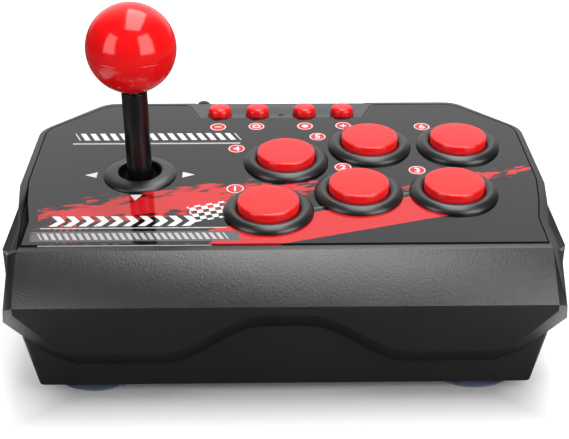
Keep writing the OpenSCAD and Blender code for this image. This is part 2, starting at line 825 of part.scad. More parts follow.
module main_board() {
    chip = [12, 12, 1.6];
    can = [4, 10, 3.2];
    plug = [9.8, 4.6, 5.8];
    cap_r = 3.2;
    cap_tall = 7;
    color([0.1, 0.35, 0.2])
        translate([board_mid[0], board_mid[1], board_z + fit / 2])
            difference() {
                union() {
                    translate([-board_size[0] / 2, -board_size[1] / 2, 0])
                        cube([board_size[0], board_size[1], board_t]);
                    translate([-chip[0] / 2, -chip[1] / 2, board_t / 2])
                        cube([chip[0], chip[1], board_t / 2 + chip[2]]);
                    translate([chip[0], -can[1] / 2, board_t / 2])
                        cube([can[0], can[1], board_t / 2 + can[2]]);
                    for (k = [0 : 4])
                        translate([(k - 2) * 1.3 * plug[0] - plug[0] / 2, board_size[1] / 2 - 2 * plug[1], board_t / 2])
                            cube([plug[0], plug[1], board_t / 2 + plug[2]]);
                    translate([-board_size[0] / 4, -board_size[1] / 4, board_t / 2])
                        cylinder(r = cap_r, h = board_t / 2 + cap_tall);
                }
                for (p = board_holes)
                    translate([p[0] - board_mid[0], p[1] - board_mid[1], -over])
                        cylinder(r = small_pilot_r, h = board_t + 2 * over);
            }
}
module function_board() {
    color([0.1, 0.35, 0.2])
        difference() {
            translate([-fboard_half, cap_y - fboard_d / 2, fboard_top - fboard_t])
                cube([2 * fboard_half, fboard_d, fboard_t - fit]);
            for (x = [-fboard_hole_x, fboard_hole_x])
                translate([x, cap_y, fboard_top - fboard_t - over])
                    cylinder(r = small_pilot_r, h = fboard_t + 2 * over);
        }
}
module function_switches() {
    color([0.2, 0.2, 0.2])
        for (x = cap_xs)
            translate([x, cap_y, fboard_top]) {
                translate([-tact_size[0] / 2, -tact_size[1] / 2, 0])
                    cube([tact_size[0], tact_size[1], tact_size[2]]);
                translate([0, 0, tact_size[2] / 2])
                    cylinder(r = tact_nub_r, h = tact_size[2] / 2 + tact_nub_h);
            }
}
module status_light() {
    skirt_r = light_d / 2 + 0.8 * light_d / 2;
    color([0.85, 0.9, 1])
        translate([0, light_y, 0]) {
            translate([0, 0, fboard_top])
                cylinder(r = skirt_r, h = pad_low - fit - fboard_top);
            translate([0, 0, pad_low - over])
                cylinder(r = light_d / 2, h = pad_t + over);
        }
}

// Main button, measured from the film along its own axis
module bezel(b) {
    crest_r = plunger_d / 2 + lip_w / 2 + 0.2 * rim_w;
    outer_r = bezel_d / 2;
    arc = [for (a = [0 : 15 : 90]) [crest_r + (outer_r - crest_r) * cos(a), rim_h / 5 + (rim_h - rim_h / 5) * sin(a)]];
    lip_r = plunger_d / 2 + plunger_gap;
    profile = concat(
        [[barrel_d / 2, 0], [outer_r, 0]],
        arc,
        [
            [lip_r + 0.4 * lip_w, 0.94 * rim_h], [lip_r, 0.72 * rim_h], [lip_r, -lip_under], [bore_r, -lip_under],
            [bore_r, -barrel_depth + end_t], [end_hole_r, -barrel_depth + end_t], [end_hole_r, -barrel_depth],
            [barrel_d / 2, -barrel_depth],
        ]
    );
    color([0.06, 0.06, 0.07])
        on_panel(b) {
            rotate_extrude()
                polygon(profile);
            for (a = [0, 180])
                rotate([0, 0, a])
                    translate([0, 0, deck_low - run_gap - tab_h])
                        intersection() {
                            translate([bore_r + barrel_wall / 2, -tab_w / 2, 0])
                                cube([barrel_wall / 2 + tab_out, tab_w, tab_h]);
                            cylinder(r1 = barrel_d / 2, r2 = barrel_d / 2 + tab_out, h = tab_h);
                        }
        }
}
module plunger(b) {
    r = plunger_d / 2;
    edge = [for (a = [0 : 15 : 90]) [r - plunger_edge + plunger_edge * sin(a), plunger_top - plunger_crown - plunger_edge * (1 - cos(a))]];
    inner_r = r - cap_wall;
    profile = concat(
        [[0, stem_low], [0, plunger_top]],
        [[r / 2, plunger_top - plunger_crown / 4]],
        edge,
        [
            [r, flange_top], [flange_r, flange_top], [flange_r, flange_top - flange_t], [inner_r, flange_top - flange_t],
            [inner_r, plunger_top - plunger_crown - cap_t], [stem_r, plunger_top - plunger_crown - cap_t], [stem_r, stem_low],
        ]
    );
    color([0.85, 0.08, 0.08])
        on_panel(b)
            rotate_extrude()
                polygon(profile);
}
module button_spring(b) {
    color([0.75, 0.75, 0.78])
        on_panel(b)
            coil_spring(
                spring_r, wire_r, spring_turns,
                -barrel_depth + end_t + fit / 2, plunger_top - plunger_crown - cap_t - fit
            );
}
module button_switch(b) {
    low = -barrel_depth - fit;
    color([0.16, 0.16, 0.17])
        on_panel(b) {
            translate([-switch_size[0] / 2, -switch_size[1] / 2, low - switch_size[2]])
                cube(switch_size);
            translate([0, 0, low - over])
                cylinder(r = nub_r, h = switch_top_w() - low + over);
            for (x = [-1, 0, 1])
                translate([x * terminal_pitch / 2 - terminal_size[0] / 2, -terminal_size[1] / 2, low - switch_size[2] - terminal_size[2]])
                    cube([terminal_size[0], terminal_size[1], terminal_size[2] + over]);
        }
}

// Function button: a capped pin held under the strip by its flange
module function_button(x) {
    r = cap_d / 2;
    top = strip_floor[2] + cap_h;
    edge = [for (a = [0 : 15 : 90]) [r - cap_edge + cap_edge * sin(a), top - cap_edge * (1 - cos(a))]];
    profile = concat(
        [[0, cap_low], [0, top]],
        edge,
        [
            [r, pad_low - run_gap], [r + cap_flange, pad_low - run_gap], [r + cap_flange, pad_low - run_gap - cap_flange_t],
            [cap_stem_r, pad_low - run_gap - cap_flange_t], [cap_stem_r, cap_low],
        ]
    );
    color([0.85, 0.08, 0.08])
        translate([x, cap_y, 0])
            rotate_extrude()
                polygon(profile);
}

// Stick
module at_stick() {
    on_panel([stick_x, stick_s])
        children();
}
module ball_top() {
    flat = sqrt(ball_d * ball_d / 4 - shaft_d * shaft_d / 3);
    color([0.85, 0.06, 0.06])
        at_stick()
            difference() {
                translate([0, 0, ball_h])
                    sphere(d = ball_d);
                translate([0, 0, ball_h - flat - ball_d / 2])
                    cylinder(d = ball_d, h = ball_d / 2);
                translate([0, 0, 0])
                    cylinder(d = shaft_d + 2 * fit, h = shaft_high + fit);
            }
}
shaft_high = ball_h - ball_d / 4;
module stick_shaft() {
    color([0.75, 0.75, 0.78])
        at_stick()
            difference() {
                translate([0, 0, -shaft_low])
                    cylinder(d = shaft_d, h = shaft_low + shaft_high);
                translate([0, 0, actuator_low - clip_t - 2 * fit])
                    difference() {
                        cylinder(d = shaft_d + over, h = clip_t + fit);
                        translate([0, 0, -over])
                            cylinder(r = groove_r, h = clip_t + 3 * over);
                    }
            }
}
module ring_part(r_out, r_in, low, high) {
    translate([0, 0, low])
        difference() {
            cylinder(r = r_out, h = high - low);
            translate([0, 0, -over])
                cylinder(r = r_in, h = high - low + 2 * over);
        }
}
module shaft_sleeve() {
    color([0.07, 0.07, 0.08])
        at_stick()
            ring_part(sleeve_d / 2, shaft_d / 2 + fit, -pivot_depth + hub_h / 2 + fit, sleeve_top);
}
module stick_collar() {
    crest = collar_in + collar_round;
    arc = [for (a = [0 : 15 : 90]) [crest + (collar_out - crest) * cos(a), collar_h * sin(a)]];
    profile = concat(
        [[collar_barrel, 0]],
        arc,
        [[collar_in, collar_h - collar_round], [collar_in, collar_low], [collar_barrel, collar_low]]
    );
    color([0.06, 0.06, 0.07])
        at_stick()
            rotate_extrude()
                polygon(profile);
}
module pivot_hub() {
    color([0.9, 0.9, 0.86])
        at_stick()
            translate([0, 0, -pivot_depth])
                difference() {
                    union() {
                        translate([0, 0, -hub_h / 2])
                            cylinder(r = hub_r, h = hub_h);
                        rotate([90, 0, 0])
                            translate([0, 0, -gimbal_out + run_gap])
                                cylinder(r = pin_r, h = 2 * (gimbal_out - run_gap));
                    }
                    translate([0, 0, -hub_h])
                        cylinder(r = shaft_d / 2 + fit, h = 2 * hub_h);
                }
}
module gimbal_ring() {
    reach = tower_in / 2 + tower_wall - fit;
    color([0.85, 0.85, 0.8])
        at_stick()
            translate([0, 0, -pivot_depth])
                difference() {
                    union() {
                        translate([0, 0, -gimbal_h / 2])
                            cylinder(r = gimbal_out, h = gimbal_h);
                        rotate([0, 90, 0])
                            translate([0, 0, -reach])
                                cylinder(r = pin_r, h = 2 * reach);
                    }
                    translate([0, 0, -gimbal_h])
                        cylinder(r = gimbal_in, h = 2 * gimbal_h);
                    rotate([90, 0, 0])
                        translate([0, 0, -reach])
                            cylinder(r = pin_r + pin_gap, h = 2 * reach);
                }
}
module stick_bracket() {
    inner = tower_in / 2;
    outer = inner + tower_wall;
    color([0.14, 0.14, 0.15])
        at_stick()
            difference() {
                union() {
                    translate([-bracket_w / 2, -bracket_l / 2, bracket_top - bracket_t])
                        cube([bracket_w, bracket_l, bracket_t]);
                    translate([-outer, -outer, gate_top])
                        cube([2 * outer, 2 * outer, bracket_top - bracket_t / 2 - gate_top]);
                }
                translate([-inner, -inner, ledge_top])
                    cube([2 * inner, 2 * inner, bracket_top - bracket_t - ledge_top]);
                translate([-inner, -inner, gate_top - over])
                    cube([2 * inner, 2 * inner, ledge_top - ledge_t - gate_top + over]);
                translate([0, 0, ledge_top - ledge_t - over])
                    cylinder(r = ledge_hole, h = ledge_t + 2 * over);
                translate([0, 0, bracket_top - bracket_t - over])
                    cylinder(r = norm([gimbal_out, gimbal_h / 2]) + run_gap, h = bracket_t + 2 * over);
                translate([0, 0, -pivot_depth])
                    rotate([0, 90, 0])
                        translate([0, 0, -outer - over])
                            cylinder(r = pin_r + pin_gap, h = 2 * (outer + over));
                for (x = [-1, 1], y = [-1, 1])
                    translate([x * bracket_hole[0], y * bracket_hole[1], bracket_top - bracket_t - over])
                        cylinder(r = pilot_r, h = bracket_t + 2 * over);
            }
}
module bracket_screws() {
    color([0.7, 0.7, 0.72])
        at_stick()
            for (x = [-1, 1], y = [-1, 1])
                translate([x * bracket_hole[0], y * bracket_hole[1], bracket_top - bracket_t - fit / 2])
                    screw(screw_r, head_r, head_h, bracket_t + small_screw_len - over);
}
module centring_cup() {
    color([0.9, 0.9, 0.86])
        at_stick() {
            ring_part(cup_r, shaft_d / 2 + fit, cup_top - cup_t, cup_top);
            ring_part(cup_neck_r, shaft_d / 2 + fit, cup_top - fit, -pivot_depth - hub_h / 2 - fit);
        }
}
module centring_spring() {
    color([0.75, 0.75, 0.78])
        at_stick()
            coil_spring(centring_r, centring_wire, centring_turns, actuator_top + fit / 2, cup_top - cup_t - fit / 2);
}
module actuator() {
    color([0.9, 0.9, 0.86])
        at_stick()
            ring_part(actuator_r, shaft_d / 2 + fit, actuator_low, actuator_top);
}
module shaft_clip() {
    color([0.6, 0.6, 0.63])
        at_stick()
            difference() {
                ring_part(clip_r, groove_r + pin_gap, actuator_low - clip_t - fit, actuator_low - fit);
                translate([0, -groove_r * 0.7, actuator_low - 2 * clip_t - fit])
                    cube([clip_r + over, 2 * groove_r * 0.7, 3 * clip_t]);
            }
}
module restrictor_gate() {
    outer = tower_in / 2 + tower_wall;
    hook = 1.6;
    hook_w = 8;
    color([0.14, 0.14, 0.15])
        at_stick() {
            difference() {
                translate([-outer - fit - hook, -outer, gate_top - gate_t - fit])
                    cube([2 * (outer + fit + hook), 2 * outer, gate_t]);
                translate([-gate_half, -gate_half, gate_top - gate_t - over])
                    cube([2 * gate_half, 2 * gate_half, gate_t + 2 * over]);
            }
            for (x = [-1, 1])
                translate([x * (outer + fit + hook / 2) - hook / 2, -hook_w / 2, gate_top - gate_t])
                    cube([hook, hook_w, 2 * gate_t]);
        }
}
module stick_switches() {
    color([0.16, 0.16, 0.17])
        at_stick()
            for (a = [0 : 90 : 270])
                rotate([0, 0, a])
                    translate([lever_half, -stick_switch[0] / 2, gate_top])
                        cube([stick_switch[1], stick_switch[0], stick_switch[2]]);
}

// Cord
coil_path = concat(
    [
        for (i = [0 : coil_turns * turn_rings])
            let (
                t = i / turn_rings,
                half = coil_turns / 2,
                r = coil_r - coil_step * (half - abs(half - t)),
                climb = min(max((t - half + 0.25) / 0.5, 0), 1),
                a = 180 - 360 * t
            )
                [
                    coil_mid[0] + r * cos(a), coil_mid[1] + r * sin(a),
                    cord_d / 2 + coil_step * climb * climb * (3 - 2 * climb),
                ],
    ],
    coil_tail
);
function path_length(p) = [for (i = 1, d = 0; i <= len(p); d = i < len(p) ? d + norm(p[i] - p[i - 1]) : d, i = i + 1) d][len(p) - 1];
coil_gap = min([
    for (i = [0 : len(coil_path) - 1], j = [i + turn_rings / 2 : 1 : len(coil_path) - 1])
        norm(coil_path[i] - coil_path[j]) - cord_d,
]);
echo(cord_length_mm = path_length(route) + path_length(coil_path), coil_least_gap_mm = coil_gap);
module strain_relief() {
    boot = relief_at[1] - rear_y;
    neck = rear_y + fit - relief_start;
    profile = [
        [0, 0], [relief_flange_r, 0], [relief_flange_r, relief_flange_t], [relief_neck_r, relief_flange_t],
        [relief_neck_r, neck], [relief_big_r, neck], [relief_end_r, neck + boot - fit], [0, neck + boot - fit],
    ];
    color([0.06, 0.06, 0.06])
        translate([relief_at[0], relief_start, relief_at[2]])
            rotate([-90, 0, 0])
                difference() {
                    rotate_extrude()
                        polygon(profile);
                    for (k = [1 : relief_grooves])
                        translate([0, 0, neck + boot * k / (relief_grooves + 1) - groove_w / 2])
                            difference() {
                                cylinder(r = relief_flange_r, h = groove_w);
                                translate([0, 0, -over])
                                    cylinder(r = relief_end_r - groove_deep / 2, h = groove_w + 2 * over);
                            }
                }
}
relief_start = base_rear - wall - fit - relief_flange_t;
module usb_cord() {
    color([0.05, 0.05, 0.05])
        sweep(route, cord_d / 2, cord_sides, [1, 0, 0]);
}
module cord_coil() {
    color([0.05, 0.05, 0.05])
        sweep(coil_path, cord_d / 2, coil_sides, [0, 0, 1]);
}
module usb_plug_body() {
    rear = 6;
    color([0.07, 0.07, 0.07])
        translate([plug_at[0], plug_at[1], plug_at[2]]) {
            translate([-plug_size[0] / 2, -plug_size[1], -plug_size[2] / 2])
                cube([plug_size[0], plug_size[1] - rear, plug_size[2]]);
            rotate([90, 0, 0])
                cylinder(d1 = 1.4 * cord_d, d2 = 2 * cord_d, h = rear);
        }
}
module usb_plug_shell() {
    tongue = [0.9 * shell_size[0], 0.35 * shell_size[2]];
    color([0.75, 0.76, 0.78])
        translate([plug_at[0], plug_at[1] - plug_size[1], plug_at[2]])
            rotate([90, 0, 0]) {
                difference() {
                    translate([-shell_size[0] / 2, -shell_size[2] / 2, 0])
                        cube([shell_size[0], shell_size[2], shell_size[1]]);
                    translate([-shell_size[0] / 2 + shell_t, -shell_size[2] / 2 + shell_t, over])
                        cube([shell_size[0] - 2 * shell_t, shell_size[2] - 2 * shell_t, shell_size[1]]);
                }
                translate([-tongue[0] / 2, -shell_size[2] / 2, over / 2])
                    cube([tongue[0], tongue[1], shell_size[1] - over]);
            }
}

top_shell();
graphic_overlay();
base_shell();
foot(feet[0]);  // foot_front_left
foot(feet[1]);  // foot_front_right
foot(feet[2]);  // foot_rear_left
foot(feet[3]);  // foot_rear_right
base_screws();
main_board();
board_screws();
function_board();
function_switches();
status_light();
bezel(buttons[0]);  // button_1_bezel
bezel(buttons[1]);  // button_2_bezel
bezel(buttons[2]);  // button_3_bezel
bezel(buttons[3]);  // button_4_bezel
bezel(buttons[4]);  // button_5_bezel
bezel(buttons[5]);  // button_6_bezel
plunger(buttons[0]);  // button_1_plunger
plunger(buttons[1]);  // button_2_plunger
plunger(buttons[2]);  // button_3_plunger
plunger(buttons[3]);  // button_4_plunger
plunger(buttons[4]);  // button_5_plunger
plunger(buttons[5]);  // button_6_plunger
button_spring(buttons[0]);  // button_1_spring
button_spring(buttons[1]);  // button_2_spring
button_spring(buttons[2]);  // button_3_spring
button_spring(buttons[3]);  // button_4_spring
button_spring(buttons[4]);  // button_5_spring
button_spring(buttons[5]);  // button_6_spring
button_switch(buttons[0]);  // button_1_switch
button_switch(buttons[1]);  // button_2_switch
button_switch(buttons[2]);  // button_3_switch
button_switch(buttons[3]);  // button_4_switch
button_switch(buttons[4]);  // button_5_switch
button_switch(buttons[5]);  // button_6_switch
function_button(cap_xs[0]);  // function_button_1
function_button(cap_xs[1]);  // function_button_2
function_button(cap_xs[2]);  // function_button_3
function_button(cap_xs[3]);  // function_button_4
ball_top();
stick_shaft();
shaft_sleeve();
stick_collar();
pivot_hub();
gimbal_ring();
stick_bracket();
centring_cup();
centring_spring();
actuator();
shaft_clip();
restrictor_gate();
stick_switches();
bracket_screws();
strain_relief();
usb_cord();
cord_coil();
usb_plug_body();
usb_plug_shell();
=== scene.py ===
# %% [markdown]
# # An arcade fight stick, dressed for its photograph
# The solids of this controller were drawn in CAD and arrive here as a fixed frame: every node already
# stands in its place, in metres, with the table at height zero. Blender's work is what a solid can't tell:
# soft edges, plastic grain, printed film, gloss and light. The frame is loaded first.

# %% Load the frame
from math import cos, pi, radians, sin

import bmesh
import bpy
from mathutils import Matrix, Vector


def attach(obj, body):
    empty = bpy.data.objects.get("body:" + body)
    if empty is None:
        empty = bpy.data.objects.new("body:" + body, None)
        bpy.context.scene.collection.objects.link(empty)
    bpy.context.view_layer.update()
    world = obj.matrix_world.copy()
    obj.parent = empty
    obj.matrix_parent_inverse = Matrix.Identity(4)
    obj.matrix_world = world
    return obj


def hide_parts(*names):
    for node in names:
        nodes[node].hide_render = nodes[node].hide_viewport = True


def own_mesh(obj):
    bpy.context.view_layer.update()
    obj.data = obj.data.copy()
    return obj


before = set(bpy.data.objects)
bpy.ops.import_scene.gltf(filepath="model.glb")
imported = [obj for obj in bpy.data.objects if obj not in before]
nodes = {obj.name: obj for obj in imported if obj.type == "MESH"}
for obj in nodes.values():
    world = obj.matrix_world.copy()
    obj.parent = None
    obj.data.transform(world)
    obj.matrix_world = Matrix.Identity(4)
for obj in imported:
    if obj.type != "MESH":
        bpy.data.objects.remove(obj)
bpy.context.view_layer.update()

# %% [markdown]
# ## The camera
# The photographer stood in front of the player's edge and looked down by some 26 degrees. A fit to round
# buttons and the ball gave the eye point, the direction and the focal length, so the camera is built from
# those vectors. That is more exact than turning a camera by eye, and the other views can still move it.

# %% Camera at the photograph's place
PHOTO_WIDTH = 569
FOCAL_PIXELS = 1111.4
SENSOR = 36
eye = Vector((-0.0074, -0.4179, 0.2465))
ahead = Vector((0.01718, 0.89772, -0.44026)).normalized()
upward = Vector((0.00671, 0.44022, 0.89788))
across = ahead.cross(upward).normalized()
upward = across.cross(ahead)
lens = bpy.data.cameras.new("photo_camera")
lens.sensor_width = SENSOR
lens.lens = FOCAL_PIXELS / PHOTO_WIDTH * SENSOR
camera = bpy.data.objects.new("photo_camera", lens)
camera.matrix_world = Matrix.Translation(eye) @ Matrix((across, upward, -ahead)).transposed().to_4x4()
bpy.context.scene.collection.objects.link(camera)
bpy.context.scene.camera = camera
print("camera lens", round(lens.lens, 1), "mm")

# %% [markdown]
# ## The cord
# Such a controller has a thin cord of about 1.8 m that leaves through a short boot at the rear. Only the
# boot's arch shows behind the casing, so the spare length is put away as a neat coil behind the object. A
# curve with a round bevel is the natural way: its spline is the centreline, and its length can be measured.
# Lengths in this file are millimetres, and MM turns them into Blender's metres. Only those of the camera,
# the boards' heights, the floor and the lamps are metres from the start.

# %% Cord route and coil
MM = 0.001
CORD_RADIUS = 2.0
CORD_EXIT = (-37, 95, 56)
FREE_ROUTE = [
    CORD_EXIT, (-37, 99, 56), (-37, 104, 54), (-37, 110, 50), (-36, 117, 43), (-34, 123, 35), (-31, 129, 25),
    (-28, 134, 15), (-25, 140, 7), (-23, 147, 3.2), (-22, 154, 2.3),
]
COIL_CENTRE = (22, 160)
COIL_RADIUS = 44
COIL_STEP = 4.7
COIL_TURNS = 7.5
POINTS_PER_TURN = 24
CLIMB_TURNS = 0.5
REST = 0.15
PLUG_END = (66, 126, 4.6)
COIL_TAIL = [(66, 152, 6.6), (66, 145, 5.7), (66, 138, 4.9), (66, 132, 4.6), PLUG_END]


def coil_point(index):
    """A point of the coil: half its turns wind inwards on the table, the rest come back out on top."""
    turn = index / POINTS_PER_TURN
    half = COIL_TURNS / 2
    radius = COIL_RADIUS - COIL_STEP * (half - abs(half - turn))
    angle = pi - 2 * pi * turn
    climb = min(max((turn - half + CLIMB_TURNS / 2) / CLIMB_TURNS, 0), 1)
    height = CORD_RADIUS + REST + COIL_STEP * climb * climb * (3 - 2 * climb)
    return COIL_CENTRE[0] + radius * cos(angle), COIL_CENTRE[1] + radius * sin(angle), height


coil_route = [coil_point(i) for i in range(int(COIL_TURNS * POINTS_PER_TURN) + 1)]
route = FREE_ROUTE + coil_route + COIL_TAIL
print(len(route), "points along the cord")

# %% Cord as a bevelled curve
cord_line = bpy.data.curves.new("cord", "CURVE")
cord_line.dimensions = "3D"
cord_line.bevel_depth = CORD_RADIUS * MM
cord_line.bevel_resolution = 3
cord_line.resolution_u = 3
cord_line.use_fill_caps = True
spline = cord_line.splines.new("BEZIER")
spline.bezier_points.add(len(route) - 1)
for knot, point in zip(spline.bezier_points, route):
    knot.co = Vector(point) * MM
    knot.handle_left_type = knot.handle_right_type = "AUTO"
cord = bpy.data.objects.new("cord", cord_line)
bpy.context.scene.collection.objects.link(cord)
print("cord of", round(spline.calc_length(), 3), "m")

# %% [markdown]
# ## Helpers for modelling
# Most parts of a controller are turned or moulded. A turned part starts as a few vertices in the x-z plane,
# one for each corner of its section, a vertex bevel rounds those corners and a spin carries them once round
# the axis. A moulded part is a copy of its CAD node whose triangles are merged back into flat faces, so that
# a bevel can run along the true edges.

# %% Helper: hand a piece over
SHARP = radians(35)


def finish_piece(bm, name):
    """Turn a bmesh into a linked object at the origin, smooth but for its sharp edges."""
    mesh = bpy.data.meshes.new(name)
    for face in bm.faces:
        face.smooth = True
    bm.to_mesh(mesh)
    bm.free()
    mesh.set_sharp_from_angle(angle=SHARP)
    piece = bpy.data.objects.new(name, mesh)
    bpy.context.scene.collection.objects.link(piece)
    return piece


def dress(piece, body, slot, finishes, *stands_for):
    """Let a piece ride on its body and give it its finishes, in place of CAD nodes if any. The slot is not
    used.
    """
    for finish in finishes:
        piece.data.materials.append(finish)
    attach(piece, body)
    if stands_for:
        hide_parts(*stands_for)
    return piece


# %% Helper: places on the sloping panel
PANEL_TILT = radians(5)
CREASE = Vector((0, -56.4906, 57.2465)) * MM
BUTTONS = [(-6.2, 26.8), (29.8, 40.5), (67.8, 40.5), (1.4, 67.3), (37.4, 81), (75.4, 81)]
STICK = (-58.6, 57)


def on_panel(x, s, w=0.0):
    """Matrix of a place on the panel: x across, s up the slope from the front crease, w off it."""
    turn = Matrix.Rotation(PANEL_TILT, 4, "X")
    return Matrix.Translation(CREASE) @ turn @ Matrix.Translation(Vector((x, s, w)) * MM)


print("stick foot", [round(v, 4) for v in on_panel(*STICK).translation])

# %% Helper: turned parts
SAME_POINT = MM * 1e-3
ROUNDING_STEPS = 5


def turned(name, section, place, steps=96, closed=False):
    """Spin a section of (radius, height, rounding) corners about the z axis of `place`."""
    bm = bmesh.new()
    corners = [bm.verts.new((r * MM, 0, h * MM)) for r, h, _ in section]
    pairs = list(zip(corners, corners[1:])) + ([(corners[-1], corners[0])] if closed else [])
    for pair in pairs:
        bm.edges.new(pair)
    for corner, (_, _, rounding) in zip(corners, section):
        if rounding:
            bmesh.ops.bevel(
                bm, geom=[corner], offset=rounding * MM, offset_type="OFFSET", segments=ROUNDING_STEPS,
                profile=0.5, affect="VERTICES", material=-1,
            )
    bmesh.ops.spin(
        bm, geom=bm.verts[:] + bm.edges[:], cent=(0, 0, 0), axis=(0, 0, 1), angle=2 * pi, steps=steps,
        use_merge=True,
    )
    bmesh.ops.remove_doubles(bm, verts=bm.verts, dist=SAME_POINT)
    bmesh.ops.dissolve_degenerate(bm, edges=bm.edges, dist=SAME_POINT)
    bmesh.ops.recalc_face_normals(bm, faces=bm.faces)
    bm.transform(place)
    return finish_piece(bm, name)


# %% Helper: moulded parts
SAME_CAD_POINT = MM * 2e-3
FLAT = radians(1)
LEAST_BEND = radians(12)
MOST_BEND = radians(150)


def cad_copy(node):
    """A bmesh of a CAD node's loose triangles, joined where they meet."""
    bm = bmesh.new()
    bm.from_mesh(nodes[node].data)
    bmesh.ops.remove_doubles(bm, verts=bm.verts, dist=SAME_CAD_POINT)
    return bm


def moulded(name, node, edge):
    """Copy a CAD node, merge it into flat faces and round its edges by `edge`."""
    bm = cad_copy(node)
    bmesh.ops.dissolve_limit(bm, angle_limit=FLAT, verts=bm.verts, edges=bm.edges)
    bm.normal_update()
    bent = [e for e in bm.edges if e.is_manifold and LEAST_BEND < abs(e.calc_face_angle(0)) < MOST_BEND]
    bmesh.ops.bevel(
        bm, geom=bent, offset=edge * MM, offset_type="OFFSET", segments=3, profile=0.5, affect="EDGES",
        clamp_overlap=True, material=-1, loop_slide=True,
    )
    return finish_piece(bm, name)


# %% [markdown]
# ## Helpers for finishes
# A finish is a node tree. The helpers below only shorten the writing: one adds a node with its settings,
# one does arithmetic, one mixes two colours and one stretches a range. Effects that several finishes share
# become node groups with named sockets.

# %% Helper: shader nodes
def add_node(tree, kind, settings=(), **inputs):
    """Add a shader node; an input (by its name, or i0, i1, ...) is a value or the socket that feeds it."""
    made = tree.nodes.new("ShaderNode" + kind)
    for name, value in dict(settings).items():
        setattr(made, name, value)
    for name, value in inputs.items():
        socket = made.inputs[int(name[1:])] if name[1:].isdigit() else made.inputs[name.replace("_", " ")]
        if isinstance(value, bpy.types.NodeSocket):
            tree.links.new(value, socket)
        else:
            socket.default_value = value
    return made


def calc(tree, operation, a, b=0.0, c=0.0):
    """Result of a Math node."""
    return add_node(tree, "Math", {"operation": operation}, i0=a, i1=b, i2=c).outputs[0]


def mix_colour(tree, factor, a, b):
    """Colour a where the factor is 0, colour b where it is 1."""
    return add_node(tree, "Mix", {"data_type": "RGBA"}, i0=factor, i6=a, i7=b).outputs[2]


def spread(tree, value, low, high, to_low=0.0, to_high=1.0):
    """Stretch a value from one range to another, held at both ends."""
    ends = {"From_Min": low, "From_Max": high, "To_Min": to_low, "To_Max": to_high}
    return add_node(tree, "MapRange", Value=value, **ends).outputs[0]


# %% Helper: node groups and finishes
SOCKET_KINDS = {"Float": "NodeSocketFloat", "Vector": "NodeSocketVector", "Color": "NodeSocketColor"}


def new_group(name, inputs, outputs):
    """Start a shader node group; returns its tree, the sockets it is given and those of its results."""
    tree = bpy.data.node_groups.new(name, "ShaderNodeTree")
    for direction, sockets in (("INPUT", inputs), ("OUTPUT", outputs)):
        for socket, kind in sockets.items():
            tree.interface.new_socket(name=socket, in_out=direction, socket_type=SOCKET_KINDS[kind])
    return tree, tree.nodes.new("NodeGroupInput").outputs, tree.nodes.new("NodeGroupOutput").inputs


def use_group(tree, group, **inputs):
    """Place a group in a tree and return its outputs."""
    return add_node(tree, "Group", {"node_tree": group}, **inputs).outputs


def new_finish(name, **constants):
    """Start a material; returns it, its tree, its shader and its object coordinates."""
    finish = bpy.data.materials.new(name)
    finish.use_nodes = True
    tree = finish.node_tree
    shader = tree.nodes["Principled BSDF"]
    for socket, value in constants.items():
        shader.inputs[socket.replace("_", " ")].default_value = value
    return finish, tree, shader, tree.nodes.new("ShaderNodeTexCoord").outputs["Object"]


# %% [markdown]
# ## Shared effects
# Moulded plastic is never even. Its tool leaves a fine spark grain, the melt leaves slow drifts of tone and
# gloss, and a photographed sample carries a few specks of dust. Each is a group that puts out a height, a
# colour or a roughness, and each finish sets its own scale and strength.

# %% Group: moulding grain
PIT_SHARE = 0.6
grain, given, result = new_group(
    "moulding_grain", {"Vector": "Vector", "Scale": "Float"}, {"Height": "Float"},
)
pits = add_node(grain, "TexVoronoi", {"feature": "SMOOTH_F1"}, Vector=given["Vector"], Scale=given["Scale"])
swell = add_node(grain, "TexNoise", Vector=given["Vector"], Scale=given["Scale"], Detail=3.0, Roughness=0.6)
height = calc(grain, "MULTIPLY_ADD", pits.outputs["Distance"], PIT_SHARE, swell.outputs["Fac"])
grain.links.new(height, result["Height"])
print("group", grain.name)

# %% Group: slow drift of tone and gloss
SLOW_SCALE = 18.0
QUICK_SCALE = 160.0
QUICK_SHARE = 0.35
drift, given, result = new_group(
    "melt_drift",
    {"Vector": "Vector", "Colour": "Color", "Lift": "Float", "Roughness": "Float", "Vary": "Float"},
    {"Colour": "Color", "Roughness": "Float"},
)
slow = add_node(drift, "TexNoise", Vector=given["Vector"], Scale=SLOW_SCALE, Detail=3.0, Roughness=0.55)
quick = add_node(drift, "TexNoise", Vector=given["Vector"], Scale=QUICK_SCALE, Detail=2.0, Roughness=0.5)
both = calc(drift, "MULTIPLY_ADD", quick.outputs["Fac"], QUICK_SHARE, slow.outputs["Fac"])
level = spread(drift, both, 0.45, 0.95)
gain = calc(drift, "MULTIPLY_ADD", level, given["Lift"], 1.0)
rough = calc(drift, "MULTIPLY_ADD", level, given["Vary"], given["Roughness"])
lifted = add_node(
    drift, "HueSaturation", Hue=0.5, Saturation=1.0, Value=gain, Fac=1.0, Color=given["Colour"],
)
drift.links.new(lifted.outputs[0], result["Colour"])
drift.links.new(rough, result["Roughness"])
print("group", drift.name)

